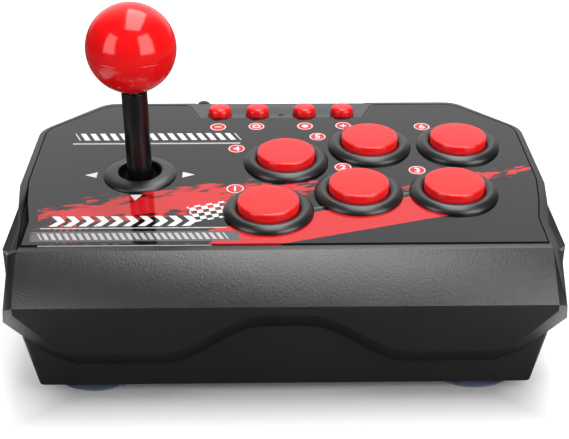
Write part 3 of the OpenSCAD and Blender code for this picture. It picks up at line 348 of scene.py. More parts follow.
# %% Group: specks of dust
SPECK_SCALE = 260.0
SPECK_COVER = 0.6
SPECK_GREY = (0.5, 0.5, 0.5, 1)
dust, given, result = new_group(
    "dust_specks", {"Vector": "Vector", "Colour": "Color", "Amount": "Float"}, {"Colour": "Color"},
)
cells = add_node(dust, "TexVoronoi", Vector=given["Vector"], Scale=SPECK_SCALE)
pick = add_node(dust, "SeparateColor", Color=cells.outputs["Color"])
near = spread(dust, cells.outputs["Distance"], 0.1, 0.05)
rare = calc(dust, "LESS_THAN", pick.outputs[0], given["Amount"])
fleck = calc(dust, "MULTIPLY", calc(dust, "MULTIPLY", near, rare), SPECK_COVER)
dust.links.new(mix_colour(dust, fleck, given["Colour"], SPECK_GREY), result["Colour"])
print("group", dust.name)


# %% Recipe: any moulded plastic
def plastic(name, colour, roughness, grain_scale, grain_depth, lift=0.2, vary=0.08, specks=0.0, **constants):
    """Plastic with drift of tone, a grain of its own scale and depth and a little dust."""
    finish, tree, shader, where = new_finish(name, **constants)
    base = (*colour, 1)
    toned = use_group(tree, drift, Vector=where, Colour=base, Lift=lift, Roughness=roughness, Vary=vary)
    dusty = use_group(tree, dust, Vector=where, Colour=toned["Colour"], Amount=specks)
    relief = use_group(tree, grain, Vector=where, Scale=grain_scale)
    bump = add_node(tree, "Bump", Strength=1.0, Distance=grain_depth * MM, Height=relief["Height"])
    tree.links.new(dusty["Colour"], shader.inputs["Base Color"])
    tree.links.new(toned["Roughness"], shader.inputs["Roughness"])
    tree.links.new(bump.outputs[0], shader.inputs["Normal"])
    return finish


# %% [markdown]
# ## Plastics
# The casing is a matt black with a fine spark grain that sparkles a little under a lamp. The tub under it is
# smoother. Rings are satin black, and the red parts are polished. All are one recipe with other values: a
# lower roughness gives polish, a deeper bump gives grain. The numbers after a colour are the roughness, the
# scale of the grain and its depth.

# %% Plastics of the object
casing_black = plastic(
    "grained_black_casing", (0.006, 0.006, 0.0065), 0.32, 1350.0, 0.055,
    lift=0.3, specks=0.012, Specular_IOR_Level=1.0,
)
tub_black = plastic(
    "smooth_black_tub", (0.008, 0.008, 0.0083), 0.4, 900.0, 0.004,
    lift=0.2, specks=0.002, Specular_IOR_Level=0.8,
)
ring_black = plastic(
    "satin_black_ring", (0.005, 0.0055, 0.006), 0.31, 1900.0, 0.02, specks=0.004, Specular_IOR_Level=0.8,
)
sleeve_black = plastic("black_sleeve", (0.004, 0.004, 0.0045), 0.24, 700.0, 0.003)
button_red = plastic("polished_red_button", (0.92, 0.012, 0.014), 0.17, 350.0, 0.002, lift=0.05, vary=0.05)
cap_red = plastic("polished_red_cap", (0.88, 0.011, 0.013), 0.2, 350.0, 0.002, lift=0.05, vary=0.05)
ball_red = plastic("polished_red_ball", (0.98, 0.008, 0.01), 0.12, 120.0, 0.001, lift=0.04, vary=0.03)
switch_black = plastic("switch_black", (0.02, 0.02, 0.022), 0.4, 1500.0, 0.01)
bracket_black = plastic("bracket_black", (0.025, 0.025, 0.027), 0.45, 1200.0, 0.02)
nylon = plastic("natural_nylon", (0.72, 0.71, 0.64), 0.38, 600.0, 0.008, lift=0.08)
cord_black = plastic("cord_black", (0.012, 0.012, 0.013), 0.5, 1500.0, 0.01)
lens_dark = plastic(
    "smoked_lens", (0.006, 0.006, 0.008), 0.3, 300.0, 0.001, lift=0.1, Specular_IOR_Level=0.1,
)
print(len(bpy.data.materials), "finishes so far")

# %% [markdown]
# ## Metals, rubber and circuit boards
# Steel wants a high Metallic value and a fine brushed roughness. The suction feet are a clear blue-grey
# rubber that lets some light through. A circuit board is green lacquer over copper tracks: a brick pattern
# stands in for the tracks and its mortar for the gaps between them.

# %% Recipe: metals
BRUSH_SCALE = 600.0
BRUSH_DEPTH = 0.01
BRUSH_ROUGHNESS = 0.2


def metal(name, colour, roughness, stretch):
    """Metal whose brushed grain is drawn out along an axis by the three factors of `stretch`."""
    finish, tree, shader, where = new_finish(name, Metallic=1.0)
    drawn = add_node(tree, "Mapping", Vector=where, Scale=stretch)
    lines = add_node(tree, "TexNoise", Vector=drawn.outputs[0], Scale=BRUSH_SCALE, Detail=3.0)
    base = (*colour, 1)
    toned = use_group(tree, drift, Vector=where, Colour=base, Lift=0.15, Roughness=roughness, Vary=0.1)
    rough = calc(tree, "MULTIPLY_ADD", lines.outputs["Fac"], BRUSH_ROUGHNESS, toned["Roughness"])
    bump = add_node(tree, "Bump", Strength=0.6, Distance=BRUSH_DEPTH * MM, Height=lines.outputs["Fac"])
    tree.links.new(toned["Colour"], shader.inputs["Base Color"])
    tree.links.new(rough, shader.inputs["Roughness"])
    tree.links.new(bump.outputs[0], shader.inputs["Normal"])
    return finish


ground_steel = metal("ground_steel", (0.62, 0.62, 0.64), 0.18, (1.0, 1.0, 0.1))
spring_steel = metal("spring_steel", (0.55, 0.55, 0.57), 0.22, (0.3, 0.3, 3.0))
zinc_screw = metal("zinc_screw", (0.6, 0.61, 0.62), 0.25, (1.0, 1.0, 1.0))
plug_tin = metal("plug_tin", (0.7, 0.71, 0.72), 0.2, (1.0, 0.2, 1.0))
print("metals ready")

# %% Suction rubber
RUBBER_DEEP = (0.16, 0.19, 0.32, 1)
RUBBER_PALE = (0.3, 0.34, 0.5, 1)
suction_rubber, tree, shader, where = new_finish("suction_rubber", IOR=1.45, Transmission_Weight=0.55)
cloud = add_node(tree, "TexNoise", Vector=where, Scale=90.0, Detail=4.0)
tint = mix_colour(tree, cloud.outputs["Fac"], RUBBER_DEEP, RUBBER_PALE)
tree.links.new(tint, shader.inputs["Base Color"])
tree.links.new(spread(tree, cloud.outputs["Fac"], 0.3, 0.7, 0.18, 0.34), shader.inputs["Roughness"])
relief = use_group(tree, grain, Vector=where, Scale=500.0)
bump = add_node(tree, "Bump", Distance=0.02 * MM, Height=relief["Height"])
tree.links.new(bump.outputs[0], shader.inputs["Normal"])
print("finish", suction_rubber.name)

# %% [markdown]
# One finish serves both boards. The small parts on the main board belong to the same node, so height tells
# them from the lacquer: above the main board's top, and below the level of the other board, all is black.

# %% Circuit board
TRACK_GREEN = (0.03, 0.2, 0.07, 1)
GAP_GREEN = (0.012, 0.11, 0.04, 1)
COPPER = (0.5, 0.42, 0.2, 1)
PART_BLACK = (0.03, 0.03, 0.032, 1)
MAIN_BOARD_TOP = 0.01275
PARTS_BELOW = 0.03
board_green, tree, shader, where = new_finish("green_circuit_board", Coat_Weight=0.4)
tracks = add_node(
    tree, "TexBrick", {"offset": 0.37, "squash": 1.6},
    Vector=where, Scale=260.0, Mortar_Size=0.06, Brick_Width=0.9, Row_Height=0.22,
)
ways = add_node(tree, "TexNoise", Vector=where, Scale=120.0, Detail=2.0)
lacquer = mix_colour(tree, tracks.outputs["Fac"], GAP_GREEN, TRACK_GREEN)
lacquer = mix_colour(tree, spread(tree, ways.outputs["Fac"], 0.62, 0.66), lacquer, COPPER)
level = add_node(tree, "SeparateXYZ", Vector=where).outputs[2]
above = calc(tree, "GREATER_THAN", level, MAIN_BOARD_TOP)
on_board = calc(tree, "MULTIPLY", above, calc(tree, "LESS_THAN", level, PARTS_BELOW))
tree.links.new(mix_colour(tree, on_board, lacquer, PART_BLACK), shader.inputs["Base Color"])
tree.links.new(spread(tree, ways.outputs["Fac"], 0.3, 0.7, 0.25, 0.45), shader.inputs["Roughness"])
bump = add_node(tree, "Bump", Distance=0.03 * MM, Height=tracks.outputs["Fac"])
tree.links.new(bump.outputs[0], shader.inputs["Normal"])
print("finish", board_green.name)

# %% [markdown]
# ## The printed film
# The real film is a glossy black sheet with a print under the clear surface. The print here is a plain
# design of its own: dry brush strokes and bars that sweep under the buttons, chevrons and slanting ticks in
# front of the stick, a few checks and a field of halftone dots. Shapes made by nodes stay sharp from any
# distance, and they are drawn in the panel's own millimetres, so every size below can be read as a length.

# %% Group: panel millimetres
panel_mm, given, result = new_group("panel_millimetres", {"Vector": "Vector"}, {"Place": "Vector"})
axes = add_node(panel_mm, "SeparateXYZ", Vector=given["Vector"]).outputs
run = calc(panel_mm, "SUBTRACT", axes[1], CREASE.y)
up_slope = calc(panel_mm, "DIVIDE", run, MM * cos(PANEL_TILT))
sideways = calc(panel_mm, "DIVIDE", axes[0], MM)
panel_mm.links.new(add_node(panel_mm, "CombineXYZ", X=sideways, Y=up_slope).outputs[0], result["Place"])
print("group", panel_mm.name)

# %% Group: axes of a motif
axes_of, given, result = new_group(
    "motif_axes",
    {"Place": "Vector", "Centre": "Vector", "Angle": "Float"},
    {"Along": "Float", "Across": "Float"},
)
moved = add_node(axes_of, "VectorMath", {"operation": "SUBTRACT"}, i0=given["Place"], i1=given["Centre"])
back = add_node(
    axes_of, "VectorRotate", {"rotation_type": "Z_AXIS", "invert": True},
    Vector=moved.outputs[0], Angle=given["Angle"],
)
axes = add_node(axes_of, "SeparateXYZ", Vector=back.outputs[0]).outputs
axes_of.links.new(axes[0], result["Along"])
axes_of.links.new(axes[1], result["Across"])
print("group", axes_of.name)

# %% Helper: motifs
INK_EDGE = 0.06
PLACING = {"Place": "Vector", "Centre": "Vector", "Angle": "Float"}
SIZES = {"Length": "Float", "Width": "Float", "Detail": "Float"}


def new_motif(name):
    """Start a motif; returns its tree, inputs, outputs and the distances u and v from its centre."""
    tree, given, result = new_group(name, {**PLACING, **SIZES}, {"Mask": "Float"})
    u, v = list(use_group(tree, axes_of, **{socket: given[socket] for socket in PLACING}))[:2]
    return tree, given, result, u, v


def end_motif(tree, result, mask):
    """Put the motif's mask out."""
    tree.links.new(mask, result["Mask"])
    print("motif", tree.name)


def times(tree, value, factor):
    """A value times a factor."""
    return calc(tree, "MULTIPLY", value, factor)


def within(tree, distance, size):
    """1 where the distance from the middle is less than half of the size, with an edge as soft as ink."""
    room = calc(tree, "SUBTRACT", times(tree, size, 0.5), calc(tree, "ABSOLUTE", distance))
    return spread(tree, room, -INK_EDGE, INK_EDGE)


def in_frame(tree, given, u, v):
    """1 inside the motif's length and width."""
    return times(tree, within(tree, u, given["Length"]), within(tree, v, given["Width"]))


def noise_at(tree, x, y, scale=1.0, **settings):
    """Noise read at the two coordinates x and y."""
    flat = add_node(tree, "CombineXYZ", X=x, Y=y).outputs[0]
    return add_node(tree, "TexNoise", Vector=flat, Scale=scale, **settings).outputs["Fac"]


# %% Group: a bar of ink with frayed ends
bar, given, result, u, v = new_motif("frayed_bar")
bristles = noise_at(bar, times(bar, u, 0.05), times(bar, v, 1.1), Detail=3.0, Roughness=0.6)
fray = calc(bar, "SUBTRACT", bristles, 0.6)
ends = calc(bar, "MULTIPLY_ADD", fray, times(bar, given["Detail"], 2.0), given["Length"])
nap = calc(bar, "SUBTRACT", noise_at(bar, u, v, 0.35, Detail=4.0), 0.5)
rise = calc(bar, "MULTIPLY_ADD", nap, times(bar, given["Detail"], 0.1), given["Width"])
end_motif(bar, result, times(bar, within(bar, u, ends), within(bar, v, rise)))

# %% Group: a dry brush stroke
dry, given, result, u, v = new_motif("dry_brush")
hairs = noise_at(dry, times(dry, u, 0.045), times(dry, v, 1.7), Detail=3.0, Roughness=0.65)
load = noise_at(dry, times(dry, u, 0.12), times(dry, v, 0.3), Detail=2.0)
to_end = calc(dry, "DIVIDE", calc(dry, "ABSOLUTE", u), given["Length"])
to_side = calc(dry, "DIVIDE", calc(dry, "ABSOLUTE", v), given["Width"])
wear = calc(dry, "ADD", times(dry, to_end, 0.5), times(dry, to_side, 0.55))
paint = calc(dry, "ADD", times(dry, hairs, 0.7), load)
ink = calc(dry, "SUBTRACT", paint, calc(dry, "ADD", wear, given["Detail"]))
end_motif(dry, result, times(dry, spread(dry, ink, 0.0, 0.04), in_frame(dry, given, u, v)))

# %% Group: a row of slanting ticks
ticks, given, result, u, v = new_motif("tick_row")
lean = calc(ticks, "MULTIPLY_ADD", v, 0.45, u)
wave = calc(ticks, "PINGPONG", lean, times(ticks, given["Detail"], 0.5))
tooth = calc(ticks, "DIVIDE", wave, given["Detail"])
end_motif(ticks, result, times(ticks, spread(ticks, tooth, 0.2, 0.24), in_frame(ticks, given, lean, v)))

# %% Group: a row of chevrons
chevrons, given, result, u, v = new_motif("chevron_row")
bent = calc(chevrons, "MULTIPLY_ADD", calc(chevrons, "ABSOLUTE", v), 0.75, u)
wave = calc(chevrons, "PINGPONG", bent, times(chevrons, given["Detail"], 0.5))
line = spread(chevrons, calc(chevrons, "DIVIDE", wave, given["Detail"]), 0.23, 0.25)
end_motif(chevrons, result, times(chevrons, line, in_frame(chevrons, given, bent, v)))

# %% Group: a field of halftone dots
halftone, given, result, u, v = new_motif("halftone_field")
half_pitch = times(halftone, given["Detail"], 0.5)
fold_u = calc(halftone, "PINGPONG", u, half_pitch)
fold_v = calc(halftone, "PINGPONG", v, half_pitch)
cell = add_node(halftone, "CombineXYZ", X=fold_u, Y=fold_v).outputs[0]
away = add_node(halftone, "VectorMath", {"operation": "LENGTH"}, i0=cell).outputs["Value"]
to_end = calc(halftone, "DIVIDE", calc(halftone, "ABSOLUTE", u), given["Length"])
to_side = calc(halftone, "DIVIDE", calc(halftone, "ABSOLUTE", v), given["Width"])
fade = calc(halftone, "ADD", to_end, to_side)
dot = times(halftone, spread(halftone, fade, 0.0, 0.55, 0.46, 0.0), given["Detail"])
end_motif(halftone, result, spread(halftone, calc(halftone, "SUBTRACT", dot, away), -INK_EDGE, INK_EDGE))

# %% Group: a strip of checks
checks, given, result, u, v = new_motif("check_strip")
square = add_node(checks, "CombineXYZ", X=u, Y=v, Z=times(checks, given["Detail"], 0.5)).outputs[0]
per_square = calc(checks, "DIVIDE", 1.0, given["Detail"])
board = add_node(checks, "TexChecker", Vector=square, Scale=per_square).outputs["Fac"]
end_motif(checks, result, times(checks, board, in_frame(checks, given, u, v)))

# %% Group: an arrow head
arrow, given, result, u, v = new_motif("arrow_head")
to_tip = calc(arrow, "SUBTRACT", times(arrow, given["Length"], 0.5), u)
taper = calc(arrow, "DIVIDE", to_tip, given["Length"])
flank = within(arrow, v, times(arrow, taper, given["Width"]))
end_motif(arrow, result, times(arrow, flank, within(arrow, u, given["Length"])))

# %% Group: a ring or a disc of ink
hoop, given, result, u, v = new_motif("ink_hoop")
flat = add_node(hoop, "CombineXYZ", X=u, Y=v).outputs[0]
away = add_node(hoop, "VectorMath", {"operation": "LENGTH"}, i0=flat).outputs["Value"]
off_line = calc(hoop, "SUBTRACT", away, times(hoop, given["Length"], 0.5))
end_motif(hoop, result, within(hoop, off_line, given["Width"]))

# %% [markdown]
# The layout is a table. A row says the motif, its ink, its centre, its angle in degrees, its length, its
# width and its detail: how far a bar frays, how dry a brush is, or the pitch of what repeats. Later rows are
# printed over earlier ones. Every button has a red disc with a white ring beside it.

# %% Layout of the print
INK_RED = (0.6, 0.012, 0.016, 1)
INK_WHITE = (0.8, 0.8, 0.8, 1)
INK_PALE = (0.5, 0.47, 0.48, 1)
INK_GREY = (0.1, 0.1, 0.105, 1)
DISC_SIZE = 7.3
RING_SIZE = 6.45
RING_LINE = 0.42
PRINT = [
    (dry, INK_RED, (72, 52), 17, 76, 9, 0.62),
    (bar, INK_RED, (22, 20), 17, 104, 18, 17),
    (bar, INK_GREY, (24, 33), 17, 90, 1.4, 16),
    (dry, INK_RED, (-40, 36), 12, 112, 22, 0.56),
    (bar, INK_RED, (-58, 30), 9, 62, 6, 12),
    (bar, INK_RED, (-14, 8), 17, 30, 5, 12),
    (halftone, INK_RED, (-82, 15), 0, 30, 28, 2.4),
    (bar, INK_GREY, (-56, 9.5), 0, 80, 7, 9),
    (ticks, INK_PALE, (-57, 9.5), 0, 70, 4.6, 2.6),
    (chevrons, INK_WHITE, (-60, 20.5), 0, 54, 7.5, 5.6),
    (checks, INK_WHITE, (-22, 29.5), 17, 30, 12, 2.4),
    (bar, INK_WHITE, (-60, 3.2), 0, 66, 1.3, 14),
    (bar, INK_PALE, (-58, 15.4), 0, 72, 0.7, 10),
    (ticks, INK_WHITE, (-54, 91.5), 0, 70, 6.4, 4.2),
    (bar, INK_PALE, (-54, 85), 0, 72, 1.2, 0),
]
LABELS = {
    "1": (-19.5, 45.1), "2": (25.0, 62.7), "3": (55.5, 59.7), "4": (-19.55, 79.9), "5": (15.6, 90.8),
    "6": (62.4, 100.1), "-": (-28.1, 100.8), "ring": (-11.1, 101.2), "dot": (10.5, 101.2),
    "+": (27.5, 101.4),
}
for spot in LABELS.values():
    PRINT += [(hoop, INK_RED, spot, 0, 0, DISC_SIZE, 0), (hoop, INK_WHITE, spot, 0, RING_SIZE, RING_LINE, 0)]
PRINT += [
    (hoop, INK_WHITE, LABELS["ring"], 0, 2.9, 0.8, 0),
    (hoop, INK_WHITE, LABELS["dot"], 0, 0, 2.8, 0),
    (arrow, INK_WHITE, (-78.7, 57.1), 180, 4.9, 4.75, 0),
    (arrow, INK_WHITE, (-38.8, 57), 0, 4.9, 4.75, 0),
    (arrow, INK_WHITE, (-58.7, 38.4), -90, 4.5, 4.9, 0),
]
print(len(PRINT), "printed motifs")

# %% Film with its print
FILM_BLACK = (0.004, 0.004, 0.0043, 1)
printed_film, tree, shader, where = new_finish(
    "printed_film", Coat_Weight=0.2, Coat_Roughness=0.04, Specular_IOR_Level=0.45,
)
place = use_group(tree, panel_mm, Vector=where)["Place"]
toned = use_group(tree, drift, Vector=where, Colour=FILM_BLACK, Lift=0.3, Roughness=0.06, Vary=0.03)
colour = toned["Colour"]
for motif, ink, centre, angle, length, width, detail in PRINT:
    sizes = {"Angle": radians(angle), "Length": length, "Width": width, "Detail": detail}
    mask = use_group(tree, motif, Place=place, Centre=(*centre, 0), **sizes)["Mask"]
    colour = mix_colour(tree, mask, colour, ink)
dusty = use_group(tree, dust, Vector=where, Colour=colour, Amount=0.003)
tree.links.new(dusty["Colour"], shader.inputs["Base Color"])
tree.links.new(toned["Roughness"], shader.inputs["Roughness"])
print("finish", printed_film.name, "of", len(tree.nodes), "nodes")

# %% [markdown]
# ## Casing
# The lid and the tub are injection moulded, so no edge of theirs is truly sharp. Their CAD solids are exact,
# and a copy with rounded edges keeps every size while the light finds the edges.

# %% Lid and tub
lid = dress(moulded("lid", "top_shell", 0.4), "housing", "shell", [casing_black], "top_shell")
tub = dress(moulded("tub", "base_shell", 0.3), "housing", "base", [tub_black], "base_shell")
print("lid", len(lid.data.polygons), "faces; tub", len(tub.data.polygons), "faces")

# %% [markdown]
# A thin black line runs all round the film, where its cut edge meets the deck: painted shade of the narrow
# gap there. It is made from the film's own upper side: the region is inset by the width of the line and only
# the rim that this adds is kept. The inset also adds a rim to each hole, and those round the buttons and the
# stick are taken away again.

# %% Seam round the film, painted in shade
SEAM_WIDTH = 0.55
SEAM_LIFT = 0.012
ROUND_HOLES = 20
bm = cad_copy("graphic_overlay")
upper = {f for f in bm.faces if f.normal.z > 0.9}
bmesh.ops.delete(bm, geom=[f for f in bm.faces if f not in upper], context="FACES")
whole = bm.faces[:]
bmesh.ops.inset_region(
    bm, faces=whole, use_boundary=True, use_even_offset=True, thickness=SEAM_WIDTH * MM,
)
bmesh.ops.delete(bm, geom=whole, context="FACES")
holes = [on_panel(*spot).translation for spot in [*BUTTONS, STICK]]
inner = [
    f for f in bm.faces
    if min((f.calc_center_median() - hole).length for hole in holes) < ROUND_HOLES * MM
]
bmesh.ops.delete(bm, geom=inner, context="FACES")
bmesh.ops.translate(bm, verts=bm.verts, vec=on_panel(0, 0).to_3x3() @ Vector((0, 0, SEAM_LIFT * MM)))
# Matt black with hardly any sheen: painted shade of the gap at the film's edge.
painted_gap_shade = plastic("painted_gap_shade", (0.003, 0.003, 0.003), 0.9, 2000.0, 0.002, Specular_IOR_Level=0.05)
seam = dress(finish_piece(bm, "film_gap_shade"), "housing", "film", [painted_gap_shade])
print("seam", len(seam.data.polygons), "faces")

# %% [markdown]
# ## Push buttons
# Each button is a ring, whose barrel goes through the panel, and a plunger with a softly crowned face. Both
# are round, so both are spun from half a section. The numbers are the CAD's own, with the roundings added.

# %% Rings and plungers
RING_SECTION = [
    (14.87, -20, 0), (14.87, 0, 0), (17.75, 0, 0), (17.75, 0.7, 0.35), (16.9, 2.1, 1.6), (14.9, 2.95, 1.6),
    (13.6, 2.8, 0.8), (12.35, 2.1, 0.4), (12.35, -0.7, 0), (13.47, -0.7, 0), (13.47, -18.5, 0),
    (4.2, -18.5, 0), (4.2, -20, 0),
]
PLUNGER_SECTION = [
    (0, 5.7, 0), (6, 5.68, 0), (11.45, 5.52, 0.3), (11.95, 5.1, 0.35), (12, -1, 0), (13.17, -1, 0.1),
    (13.17, -3, 0.1), (10.6, -3, 0), (10.6, 3.35, 0.3), (3, 3.35, 0.3), (3, -15.25, 0.2), (0, -15.25, 0),
]
for number, spot in enumerate(BUTTONS, 1):
    ring = turned(f"ring_{number}", RING_SECTION, on_panel(*spot), closed=True)
    dress(ring, "housing", "rings", [ring_black], f"button_{number}_bezel")
    plunger = turned(f"plunger_{number}", PLUNGER_SECTION, on_panel(*spot))
    dress(plunger, f"plunger_{number}", "plungers", [button_red], f"button_{number}_plunger")
print(len(BUTTONS), "buttons")

# %% [markdown]
# ## Function buttons
# Four small keys stand in the sunk strip. They are turned as well, with a generous radius round the top.

# %% Function buttons
STRIP_Z = 66.217
CAP_Y = 59.068
CAP_XS = [-27.8, -10.7, 10.7, 27.8]
CAP_SECTION = [
    (0, 4, 0), (3.4, 3.95, 0.8), (5.15, 3.1, 1.3), (5.15, -2.7, 0), (6.35, -2.7, 0), (6.35, -3.9, 0),
    (2, -3.9, 0), (2, -6.5, 0), (0, -6.5, 0),
]
for number, x in enumerate(CAP_XS, 1):
    upright = Matrix.Translation(Vector((x, CAP_Y, STRIP_Z)) * MM)
    key = turned(f"function_key_{number}", CAP_SECTION, upright, steps=64)
    dress(key, f"cap_{number}", "caps", [cap_red], f"function_button_{number}")
print(len(CAP_XS), "function buttons")

# %% [markdown]
# ## Ball top, sleeve and collar
# A ball top is moulded and polished, and a fine line round its middle shows where its two halves meet. Five
# extra corners in the half circle make that groove, the middle one a little deeper, before the spin. A bore
# in the ball's foot takes the shaft. The sleeve is a plain tube over the shaft, and the collar is a low dome
# with a wide bore in which the stick can lean.

# %% Ball
SHAFT_BORE = 3.1
SHAFT_TOP = 46.8
BALL_HEIGHT = 55.6
BALL_RADIUS = 17.5
BALL_STEPS = 48
FOOT_ANGLE = 0.2
PARTING_ANGLE = -0.053
PARTING_DEPTH = 0.12
PARTING_STEPS = (-0.022, -0.014, 0, 0.014, 0.022)
angles = [(pi - FOOT_ANGLE) * k / BALL_STEPS + FOOT_ANGLE - pi / 2 for k in range(BALL_STEPS)]
angles += [PARTING_ANGLE + step for step in PARTING_STEPS]
half_circle = []
for angle in sorted(angles):
    out = BALL_RADIUS - (PARTING_DEPTH if angle == PARTING_ANGLE else 0)
    half_circle.append((out * cos(angle), BALL_HEIGHT + out * sin(angle), 0))
bore = [(SHAFT_BORE, SHAFT_TOP, 0), (SHAFT_BORE, half_circle[0][1], 0)]
ball = turned("ball", bore + half_circle + [(0, BALL_HEIGHT + BALL_RADIUS, 0)], on_panel(*STICK))
dress(ball, "stick", "ball", [ball_red], "ball_top")
print("ball", len(ball.data.polygons), "faces")

# %% Sleeve and collar
SLEEVE_SECTION = [(SHAFT_BORE, -6.9, 0), (5.1, -6.9, 0.3), (5.1, 37.8, 0.3), (SHAFT_BORE, 37.8, 0)]
COLLAR_SECTION = [
    (10.6, -6, 0), (10.6, 0, 0), (14.9, 0, 0), (14.85, 0.5, 0.2), (13.6, 1.5, 1.2), (11.4, 2.15, 1.6),
    (9.3, 2.3, 0.6), (8.7, 1.6, 0.5), (8.7, -6, 0),
]
sleeve = turned("sleeve", SLEEVE_SECTION, on_panel(*STICK), closed=True)
dress(sleeve, "stick", "sleeve", [sleeve_black], "shaft_sleeve")
collar = turned("collar", COLLAR_SECTION, on_panel(*STICK), closed=True)
dress(collar, "housing", "rings", [ring_black], "stick_collar")
print("stick dressed")

# %% [markdown]
# ## Springs
# A spring is a small circle spun round an axis while it climbs. Blender's spin has a step vector for just
# that. Each button spring gets a mesh of its own.

# %% Springs
WIRE_SIDES = 8
STEPS_PER_TURN = 24


def spring(name, radius, wire, turns, low, high, place):
    """Spin a circle of wire up a helix between two heights."""
    bm = bmesh.new()
    start = Matrix.Translation(Vector((radius, 0, low + wire)) * MM) @ Matrix.Rotation(pi / 2, 4, "X")
    bmesh.ops.create_circle(bm, cap_ends=True, segments=WIRE_SIDES, radius=wire * MM, matrix=start)
    steps = turns * STEPS_PER_TURN
    rise = (high - low - 2 * wire) * MM / steps
    bmesh.ops.spin(
        bm, geom=bm.faces[:], cent=(0, 0, 0), axis=(0, 0, 1), dvec=(0, 0, rise), angle=2 * pi * turns,
        steps=steps,
    )
    bmesh.ops.recalc_face_normals(bm, faces=bm.faces)
    bm.transform(place)
    return finish_piece(bm, name)


SPRING_LOW, SPRING_HIGH = -18.45, 3.25
for number, spot in enumerate(BUTTONS, 1):
    coil = spring(f"spring_{number}", 6, 0.45, 5, SPRING_LOW, SPRING_HIGH, on_panel(*spot))
    dress(coil, "housing", "springs", [spring_steel], f"button_{number}_spring")
    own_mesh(coil)
centring = spring("stick_spring", 5, 0.5, 2, -31.52, -27.22, on_panel(*STICK))
dress(centring, "stick", "springs", [spring_steel], "centring_spring")
print("springs wound")

# %% [markdown]
# ## Signs
# The plain numbers and the plus and minus signs on the red discs are thin solids laid on the film, because
# letter shapes are quicker and cleaner as outlines than as a texture. Each outline becomes a mesh, is
# centred by its own width and height, and is carried to its disc, raised so that its back lies on the film.

# %% Numbers and signs
SIGN_SIZE = 5.4
SIGN_BOLD = 0.14
SIGN_EXTRUDE = 0.02
SIGNS = {"-": (chr(0x2212), "minus"), "+": ("+", "plus")}
sign_white = plastic("sign_white", INK_WHITE[:3], 0.12, 500.0, 0.001, lift=0.03)
for label, spot in LABELS.items():
    if len(label) > 1:
        continue
    shape, plain_name = SIGNS.get(label, (label, label))
    outline = bpy.data.curves.new("sign", "FONT")
    outline.body = shape
    outline.size = SIGN_SIZE * MM
    outline.offset = SIGN_BOLD * MM
    outline.extrude = SIGN_EXTRUDE * MM
    glyph = bpy.data.meshes.new_from_object(bpy.data.objects.new("sign", outline))
    bm = bmesh.new()
    bm.from_mesh(glyph)
    bmesh.ops.remove_doubles(bm, verts=bm.verts, dist=SAME_POINT)
    reach = [[v.co[k] for v in bm.verts] for k in range(3)]
    bmesh.ops.translate(bm, verts=bm.verts, vec=[-(min(c) + max(c)) / 2 for c in reach])
    bm.transform(on_panel(*spot, SIGN_EXTRUDE))
    dress(finish_piece(bm, f"sign_{plain_name}"), "housing", "film", [sign_white])
print("signs laid on the film")

# %% [markdown]
# ## Floor
# Black gloss shows what stands round it, so the table matters as much as the lamps. A Light Path node lets
# the camera see a plain pale table, while reflections meet a dark one with a bright strip on each side of
# the casing. This is a trick of the floor alone: no finish of the object knows where the camera is.

# %% Helper: a soft band
def between(tree, value, rise, fall):
    """1 between two soft ends, each given as the pair of distances over which it changes, in metres."""
    return calc(tree, "MULTIPLY", spread(tree, value, *rise), spread(tree, value, *fall, 1.0, 0.0))


# %% Floor: tones
FLOOR_REACH = 6
GREY = (0.6, 0.6, 0.6, 1)
PALER_GREY = (0.63, 0.63, 0.63, 1)
DARK_TABLE = 0.1
STRIP_TONE = 0.85
bm = bmesh.new()
bmesh.ops.create_grid(bm, x_segments=1, y_segments=1, size=FLOOR_REACH)
floor = finish_piece(bm, "floor")
floor_white, tree, shader, where = new_finish(
    "floor_white", Roughness=0.9, Specular_IOR_Level=0.2, Emission_Strength=1.0,
)
mottle = add_node(tree, "TexNoise", Vector=where, Scale=4.0, Detail=2.0)
table = mix_colour(tree, mottle.outputs["Fac"], GREY, PALER_GREY)
axes = add_node(tree, "SeparateXYZ", Vector=where).outputs
aside = calc(tree, "ABSOLUTE", axes[0])
depth = axes[1]
beside = between(tree, aside, (0.108, 0.125), (0.2, 0.25))
strips = calc(tree, "MULTIPLY", beside, between(tree, depth, (-0.13, -0.09), (0.0, 0.04)))
mirrored = calc(tree, "MULTIPLY_ADD", strips, STRIP_TONE, DARK_TABLE)
seen = add_node(tree, "LightPath").outputs["Is Camera Ray"]
tree.links.new(mix_colour(tree, seen, mirrored, table), shader.inputs["Base Color"])
print("finish", floor_white.name)

# %% [markdown]
# The table that the camera sees also glows a little, as an overexposed ground does; this glow is painted
# light.
# It grows with the distance from the object's own ground and fades out under it, which keeps a short contact
# shadow whose edge is painted shade.

# %% Floor: glow away from the object
GROUND_SIDE = 0.088
GROUND_FRONT = -0.075
GROUND_REAR = 0.11
before = calc(tree, "SUBTRACT", GROUND_FRONT, depth)
behind = calc(tree, "SUBTRACT", depth, GROUND_REAR)
sideward = calc(tree, "SUBTRACT", aside, GROUND_SIDE)
clear = calc(tree, "MAXIMUM", sideward, calc(tree, "MAXIMUM", before, behind))
# Painted light on the floor, missing round the object's ground: a painted contact shadow.
near_glow = spread(tree, clear, -0.008, 0.024, 0.0, 0.58)
far_glow = spread(tree, clear, 0.2, 1.5, 0.0, 0.5)
glow = calc(tree, "MULTIPLY", calc(tree, "ADD", near_glow, far_glow), seen)
tree.links.new(glow, shader.inputs["Emission Color"])
floor.data.materials.append(floor_white)
print("floor of", len(tree.nodes), "shader nodes")

# %% [markdown]
# ## Lamps and room
# Three soft boxes stand over and to both sides of the object. The ball shows them as its three bright
# patches, which is how their places were found. Their brightness is given as radiance, because a patch in a
# reflection is as bright as the lamp's face, whatever its size, and the energy follows from the area.

